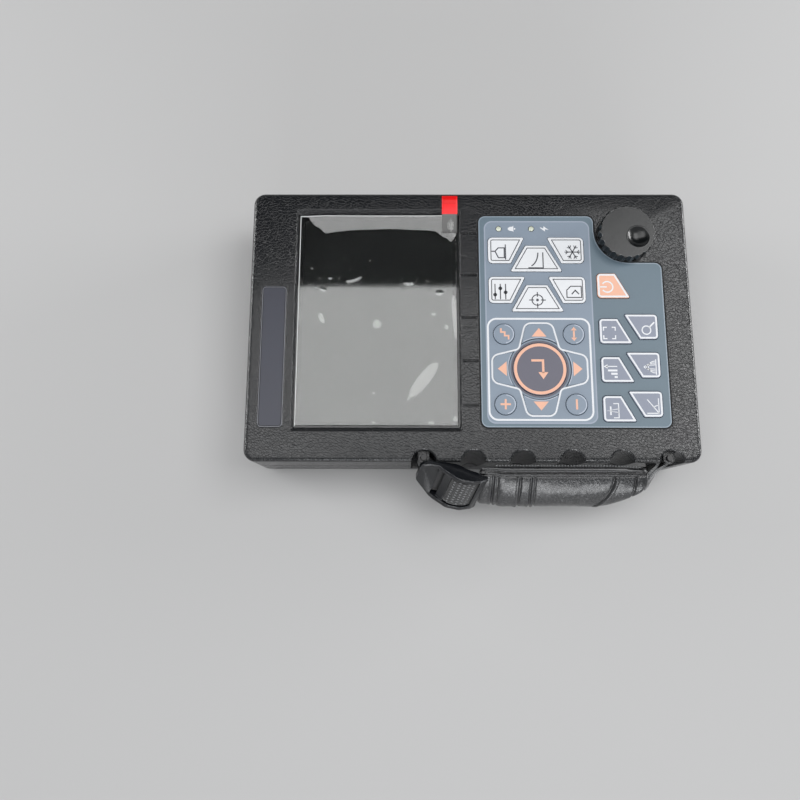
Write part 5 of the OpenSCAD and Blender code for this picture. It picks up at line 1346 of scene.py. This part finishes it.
# The band's cross-section, as shares of its thickness and width, and its sides that show a sewn edge
WEB_SECTION = [(-0.5, -0.49), (-0.5, -0.25), (-0.5, 0), (-0.5, 0.25), (-0.5, 0.49), (0, 0.5), (0.5, 0.49),
               (0.5, 0.25), (0.5, 0), (0.5, -0.25), (0.5, -0.49), (0, -0.5)]
WEB_EDGES = (3, 4, 5, 6, 9, 10, 11, 0)


def make_web(name, path, replaced, far, pin, narrow, rise):
    """A webbing end; at the pad it draws in to a share of its width and rises, as it is sewn into the pad."""
    verts, lengths, travelled, last = [], [], 0.0, None
    for place, z, angle, lean, shift in path:
        up = Vector((math.sin(lean), 0, math.cos(lean)))
        side = Vector((math.cos(angle), math.sin(angle), 0)).cross(up).normalized()
        centre = Vector((place.x, place.y, z)) + side * shift
        travelled += (centre - last).length if last else 0.0
        last = centre
        lengths.append(travelled)
        tooth = TOOTH_DEPTH * math.sin(2 * math.pi * travelled / EDGE_TEETH)
        near = 1 - ease((Vector(far) - place).length / (Vector(far) - Vector(pin)).length / 0.8)
        for a, b in WEB_SECTION:
            wide = WEB_WIDTH * (1 + (narrow - 1) * near) + (tooth if abs(b) > 0.4 else 0.0)
            verts.append(centre + side * (a * WEB_THICK) + up * (b * wide + rise * near))
    n, m = len(WEB_SECTION), len(path)
    faces = quads(m - 1, n) + [tuple(range(n)), tuple(range((m - 1) * n + n - 1, (m - 1) * n - 1, -1))]
    # The sewn edges take the pale thread finish, a painted highlight along the band's edges.
    slots = [1 if k in WEB_EDGES else 0 for _ in range(m - 1) for k in range(n)] + [0, 0]
    web = new_piece(name, verts, faces, ["webbing", "thread_highlight"], None, slots, smooth=45)
    map_band(web, n, [length / EDGE_TEETH for length in lengths], [share + 0.5 for _, share in WEB_SECTION])
    recalculate(web, join=False)
    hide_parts(replaced)
    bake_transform(web)


def map_band(obj, n, along, across):
    """A UV map for rows of n points: one value for each row, and one for each point in it."""
    uv = obj.data.uv_layers.new(name="band")
    for loop in obj.data.loops:
        i, k = divmod(loop.vertex_index, n)
        uv.data[loop.index].uv = (along[i], across[k])


def make_webs():
    knee = ((LOWER_FAR[0] + LOWER_PIN[0]) / 2, (LOWER_FAR[1] + LOWER_PIN[1]) / 2)
    lower = web_path(LOWER_FAR, knee, LOWER_PIN, -1)
    upper = web_path(UPPER_FAR, UPPER_KNEE, UPPER_PIN, 1)
    make_web("lower_webbing", lower, "strap_web_lower", LOWER_FAR, LOWER_PIN, LOWER_NARROW, LOWER_RISE)
    make_web("upper_webbing", upper, "strap_web_upper", UPPER_FAR, UPPER_PIN, 1.0, 0.0)


make_webs()


# Coarse webbing that shows in the buckle's window, as rows of raised threads
def thread_tree():
    """Instances a small bead on every point of a mesh, turned along the rows, and makes them real."""
    tree, given, out = new_group(
        "Geometry", "thread_rows",
        [("Geometry", "Geometry"), ("Bead length", "Float", 0.0011), ("Bead radius", "Float", 0.0004),
         ("Turn", "Vector", (0, 0, 0)), ("Material", "Material")], [("Geometry", "Geometry")])
    ball = node(tree, "GeometryNodeMeshUVSphere", {"Segments": 8, "Rings": 5, "Radius": 1.0})
    size = node(tree, "ShaderNodeCombineXYZ",
                {0: given["Bead radius"], 1: given["Bead length"], 2: given["Bead radius"]})
    points = node(tree, "GeometryNodeMeshToPoints", {0: given[0]})
    beads = node(tree, "GeometryNodeInstanceOnPoints",
                 {"Points": points.outputs[0], "Instance": ball.outputs["Mesh"], "Scale": size.outputs[0],
                  "Rotation": given["Turn"]})
    real = node(tree, "GeometryNodeRealizeInstances", {0: beads.outputs[0]})
    smooth = node(tree, "GeometryNodeSetShadeSmooth", {0: real.outputs[0], "Shade Smooth": True})
    coat = node(tree, "GeometryNodeSetMaterial", {0: smooth.outputs[0], "Material": given["Material"]})
    tree.links.new(coat.outputs[0], out[0])
    return tree


THREADS = thread_tree()


def rows_of_beads(name, points, length, radius, turn, body):
    """Thread beads at the given points, in millimetres, as one plain mesh that rides on a body."""
    seed = mesh_object(name + "_points", points, [])
    rows = seed.modifiers.new("rows", "NODES")
    rows.node_group = THREADS
    sockets = {s.name: s.identifier for s in THREADS.interface.items_tree if s.in_out == "INPUT"}
    for key, value in (("Bead length", length * MM), ("Bead radius", radius * MM), ("Turn", turn),
                       # The beads take the pale thread finish, a painted highlight on the threads.
                       ("Material", FINISHES["thread_highlight"])):
        rows[sockets[key]] = value
    real = applied(seed)
    bpy.data.objects.remove(seed)
    real.name = name
    piece = bpy.data.objects.new(name, real)
    scene.collection.objects.link(piece)
    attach(piece, body)


BUCKLE_TOP_Y = PAD_TOP_Y + 36.0
BUCKLE_LENGTH = 42.0
BUCKLE_TURN = math.radians(14)


def from_buckle(depth_out, along, across):
    """A point given by its distance from the tongue's end, its depth outwards and its place across."""
    y, w = BUCKLE_LENGTH / 2 - along, across
    c, s = math.cos(BUCKLE_TURN), math.sin(BUCKLE_TURN)
    return from_strap(-depth_out, BUCKLE_TOP_Y - BUCKLE_LENGTH / 2 + y * c - w * s, y * s + w * c)


# A side rail's outline: depth outwards, place along the buckle, rounding
RAIL = [(-2.0, -2.2, 1.0), (-2.0, 8.0, 4.0), (-2.4, 12.0, 3.0), (-2.4, 19.5, 6.0), (0.2, 25.0, 6.0),
        (1.6, 31.5, 4.0), (3.4, 33.5, 2.0), (3.4, 37.4, 0.8), (4.8, 37.4, 0.8), (7.0, 33.3, 8.0),
        (9.0, 27.5, 8.0), (8.4, 19.0, 8.0), (3.5, 11.2, 6.0), (0.9, 8.2, 3.0), (0.9, -2.2, 1.0)]
MIDDLE_BAR = [(2.0, 12.3), (5.6, 16.2), (4.4, 17.0), (0.8, 13.1)]
END_BAR = [(7.6, 32.6), (7.0, 34.4), (4.7, 37.1), (3.6, 37.1), (5.2, 33.0)]
TONGUE_PLAN = [(-2.4, 19.6), (37.5, 19.6), (37.5, -8.1), (8.6, -8.1), (-2.4, 4.6)]
TONGUE_RADII = [6.5, 1.5, 1.5, 3.0, 7.0]
BUCKLE_ACROSS = (-8.0, 19.4)
RAIL_THICK = 2.4


def block(name, outline, low, high, flat=False):
    """A closed solid in the buckle's frame; flat outlines lie along and across, others depth and along."""
    n = len(outline)
    verts = [from_buckle(h, a, b) if flat else from_buckle(a, b, h) for h in (low, high) for a, b in outline]
    faces = [tuple(range(n)), tuple(range(2 * n - 1, n - 1, -1))] + quads(1, n)
    piece = new_piece(name, verts, faces, ["buckle"], None)
    recalculate(piece)
    return piece


def make_buckle():
    """Two swept side rails joined by a rounded tongue, a middle bar and an end bar, as one moulding."""
    low, high = BUCKLE_ACROSS
    rail = rounded([(depth, place) for depth, place, _ in RAIL], [radius for _, _, radius in RAIL], 5)
    tongue = [(-2.19, low + 0.01), (9.0, low + 0.01), (9.0, high - 0.01), (-2.19, high - 0.01)]
    parts = [block("upper_rail", rail, high - RAIL_THICK, high),
             block("tongue_plate", rounded(tongue, [0.4] * 4, 4), -1.99, 0.89, True),
             block("middle_bar", rounded(MIDDLE_BAR, [0.5] * 4, 4), low + 0.5, high - 0.5),
             block("end_bar", rounded(END_BAR, [0.3] * 5, 4), low + 0.5, high - 0.5)]
    trim = block("plan_form", rounded(TONGUE_PLAN, TONGUE_RADII, 12), -8.0, 14.0, True)
    buckle = block("strap_buckle_moulding", rail, low, low + RAIL_THICK)
    for operation, others in (("UNION", parts), ("INTERSECT", [trim])):
        for other in others:
            step = buckle.modifiers.new(other.name, "BOOLEAN")
            step.operation, step.object, step.solver = operation, other, "EXACT"
    soften = buckle.modifiers.new("soft_edges", "BEVEL")
    soften.width, soften.segments, soften.limit_method = 0.45 * MM, 2, "ANGLE"
    soften.angle_limit = math.radians(38)
    soften.use_clamp_overlap = True
    apply_modifiers(buckle).set_sharp_from_angle(angle=math.radians(35))
    for other in parts + [trim]:
        bpy.data.objects.remove(other)
    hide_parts("strap_buckle")
    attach(buckle, STRAP_BODY)


TAIL_ENDS, TAIL_ACROSS = (9.4, 33.4), (-4.6, 15.8)
WINDOW_START = 19
TAIL_HEIGHTS = [(9.4, -1.6), (14.0, -1.3), (16.2, 2.4), (18.0, 5.4), (20.5, 6.9), (24.5, 7.3), (28.5, 6.8),
                (33.4, 4.6)]
# Raised threads in the window, along and across, and stitches along the pad's edge
BEAD_START, BEAD_PITCH = (18.9, -3.6), (2.7, 2.2)
STITCH_START, STITCH_PITCH = 10.0, 1.7


def tail_height(a):
    """How far the threaded webbing lies out along the buckle: low in the slot, raised in the window."""
    for (a0, h0), (a1, h1) in zip(TAIL_HEIGHTS, TAIL_HEIGHTS[1:]):
        if a <= a1:
            t = (a - a0) / (a1 - a0)
            return h0 + (h1 - h0) * (ease(t) if a1 < WINDOW_START else t)
    return TAIL_HEIGHTS[-1][1]


def make_buckle_web():
    """The tail of the webbing that is threaded through the buckle, with its coarse raised weave."""
    along, across = spread(TAIL_ENDS, 42), spread(TAIL_ACROSS, 12)
    row = len(across)
    verts = [from_buckle(tail_height(a), a, w) for a in along for w in across]
    tail = new_piece("buckle_webbing", verts, quads(len(along) - 1, row, closed=False), ["webbing"], None,
                     smooth=60)
    map_band(tail, row, [a / EDGE_TEETH for a in along], spread((0, 1), row - 1))
    thicken(tail, 0.9)
    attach(tail, STRAP_BODY)
    beads = []
    for column in range(5):
        a = BEAD_START[0] + BEAD_PITCH[0] * column
        offset = BEAD_PITCH[1] / 2 if column % 2 else 0.0
        beads += [from_buckle(tail_height(a) + 0.7, a, BEAD_START[1] + BEAD_PITCH[1] * k + offset)
                  for k in range(9)]
    rows_of_beads("buckle_threads", beads, 1.0, 0.5, (BUCKLE_TURN, STRAP_LEAN, 0), STRAP_BODY)


def make_edge_stitches():
    """Stitches that show along the pad's upper edge."""
    points = []
    s = STITCH_START
    while s < PAD_LENGTH - 6:
        points.append(from_strap(0.9, PAD_TOP_Y - s, pad_edges(s)[1] + 0.15))
        s += STITCH_PITCH
    rows_of_beads("edge_stitches", points, 0.6, 0.42, (0, 0, math.radians(24)), STRAP_BODY)


make_buckle()
make_buckle_web()
make_edge_stitches()


# Studio: a pale floor, soft lights and dark cards that the far part of the window mirrors
CEILING = 1.5
CARD_EDGE, BRIGHT_EDGE, SIDE_EDGE, SOFT_EDGE = 0.544, 0.12, -0.45, 0.24
BACKDROP, BACKDROP_STRENGTH = (0.96, 0.97, 0.98), 0.5
FADE_START, FADE_END = 0.45, 0.95


def area_light(name, at, aim, size, radiance, colour=(1, 1, 1)):
    data = bpy.data.lights.new(name, "AREA")
    data.shape = "RECTANGLE"
    data.size, data.size_y = size
    data.energy = radiance * math.pi * size[0] * size[1]
    data.color = colour
    light = bpy.data.objects.new(name, data)
    scene.collection.objects.link(light)
    light.location = at
    light.rotation_mode = "QUATERNION"
    light.rotation_quaternion = (Vector(aim) - Vector(at)).to_track_quat("-Z", "Y")
    light.visible_camera = False


def fade_out(tree, surface):
    """Takes a floor over into the colour of the backdrop, well away from the object."""
    place = tree.nodes.new("ShaderNodeNewGeometry").outputs["Position"]
    away = stepped(tree, vectors(tree, "LENGTH", place, out=1), FADE_START, FADE_END)
    haze = node(tree, "ShaderNodeEmission", {"Color": rgba(BACKDROP), "Strength": BACKDROP_STRENGTH})
    mixed_shaders(tree, maths(tree, "MULTIPLY", away, seen_rays(tree)), surface, haze,
                  tree.nodes["Material Output"].inputs["Surface"])


def flat_board(name, x, y, z, colour, roughness, lit=None):
    """A flat board; lit is its colour for the light that it throws back on the object."""
    board = mesh_object(name, [(x[0], y[0], z), (x[1], y[0], z), (x[1], y[1], z), (x[0], y[1], z)],
                        [(0, 1, 2, 3)], scale=1.0)
    material = bpy.data.materials.new(name)
    material.use_nodes = True
    tree = material.node_tree
    surface = tree.nodes["Principled BSDF"]
    surface.inputs["Base Color"].default_value = rgba(colour)
    surface.inputs["Roughness"].default_value = roughness
    if lit:
        tree.links.new(mixed(tree, seen_rays(tree), rgba(lit), rgba(colour)), surface.inputs["Base Color"])
        fade_out(tree, surface)
    board.data.materials.append(material)
    return board


def seen_rays(tree):
    """One for rays that show the backdrop: from the camera, off a gloss or through glass."""
    rays = tree.nodes.new("ShaderNodeLightPath").outputs
    through = maths(tree, "MAXIMUM", rays["Is Glossy Ray"], rays["Is Transmission Ray"])
    return maths(tree, "MAXIMUM", rays["Is Camera Ray"], through)


# Lit parts of the ceiling: places along X and along Y, and brightness
CEILING_LIGHTS = {
    "ceiling_bright": ((BRIGHT_EDGE, CARD_EDGE), (SIDE_EDGE, 1.0), 2.4),
    "ceiling_soft": ((-0.7, BRIGHT_EDGE), (SIDE_EDGE, SOFT_EDGE), 1.5),
    "ceiling_far": ((-0.7, BRIGHT_EDGE), (SOFT_EDGE, 1.0), 2.6),
    "ceiling_side": ((-0.3, 0.85), (-1.3, SIDE_EDGE), 3.4),
}
DARK_CARDS = {"dark_card": ((CARD_EDGE, 3.5), (SIDE_EDGE, 3.5)),
              "dark_card_side": ((0.85, 3.5), (-3.5, SIDE_EDGE))}
# Lamps at the sides: place, aim, size, brightness and colour
SIDE_LAMPS = {
    "strap_side": ((-1.25, -0.15, 0.30), (-0.09, -0.05, 0.04), (1.0, 0.34), 6.5, (0.97, 0.98, 1.0)),
    "knob_side": ((0.3, -1.2, 0.23), (0, 0, 0.03), (0.65, 0.3), 15.0, (1, 1, 1)),
    "far_side": ((0.3, 1.2, 0.23), (0, 0, 0.03), (0.65, 0.3), 13.0, (1, 1, 1)),
}


def set_studio():
    flat_board("floor", (-6, 6), (-6, 6), -0.0001, (0.56, 0.56, 0.56), 0.9, (0.25, 0.25, 0.25))
    for name, (x, y) in DARK_CARDS.items():
        flat_board(name, x, y, CEILING - 0.02, (0.01, 0.01, 0.01), 0.9).visible_camera = False
    for name, (x, y, radiance) in CEILING_LIGHTS.items():
        centre = ((x[0] + x[1]) / 2, (y[0] + y[1]) / 2)
        area_light(name, (*centre, CEILING), (*centre, 0), (x[1] - x[0], y[1] - y[0]), radiance)
    for name, lamp in SIDE_LAMPS.items():
        area_light(name, *lamp)
    world = bpy.data.worlds.new("studio")
    scene.world = world
    world.use_nodes = True
    tree = world.node_tree
    tree.nodes.clear()
    out = tree.nodes.new("ShaderNodeOutputWorld")
    soft = node(tree, "ShaderNodeBackground", {"Color": (0.92, 0.95, 1.0, 1), "Strength": 0.1})
    pale = node(tree, "ShaderNodeBackground", {"Color": rgba(BACKDROP), "Strength": BACKDROP_STRENGTH})
    mixed_shaders(tree, seen_rays(tree), soft, pale, out.inputs[0])


set_studio()
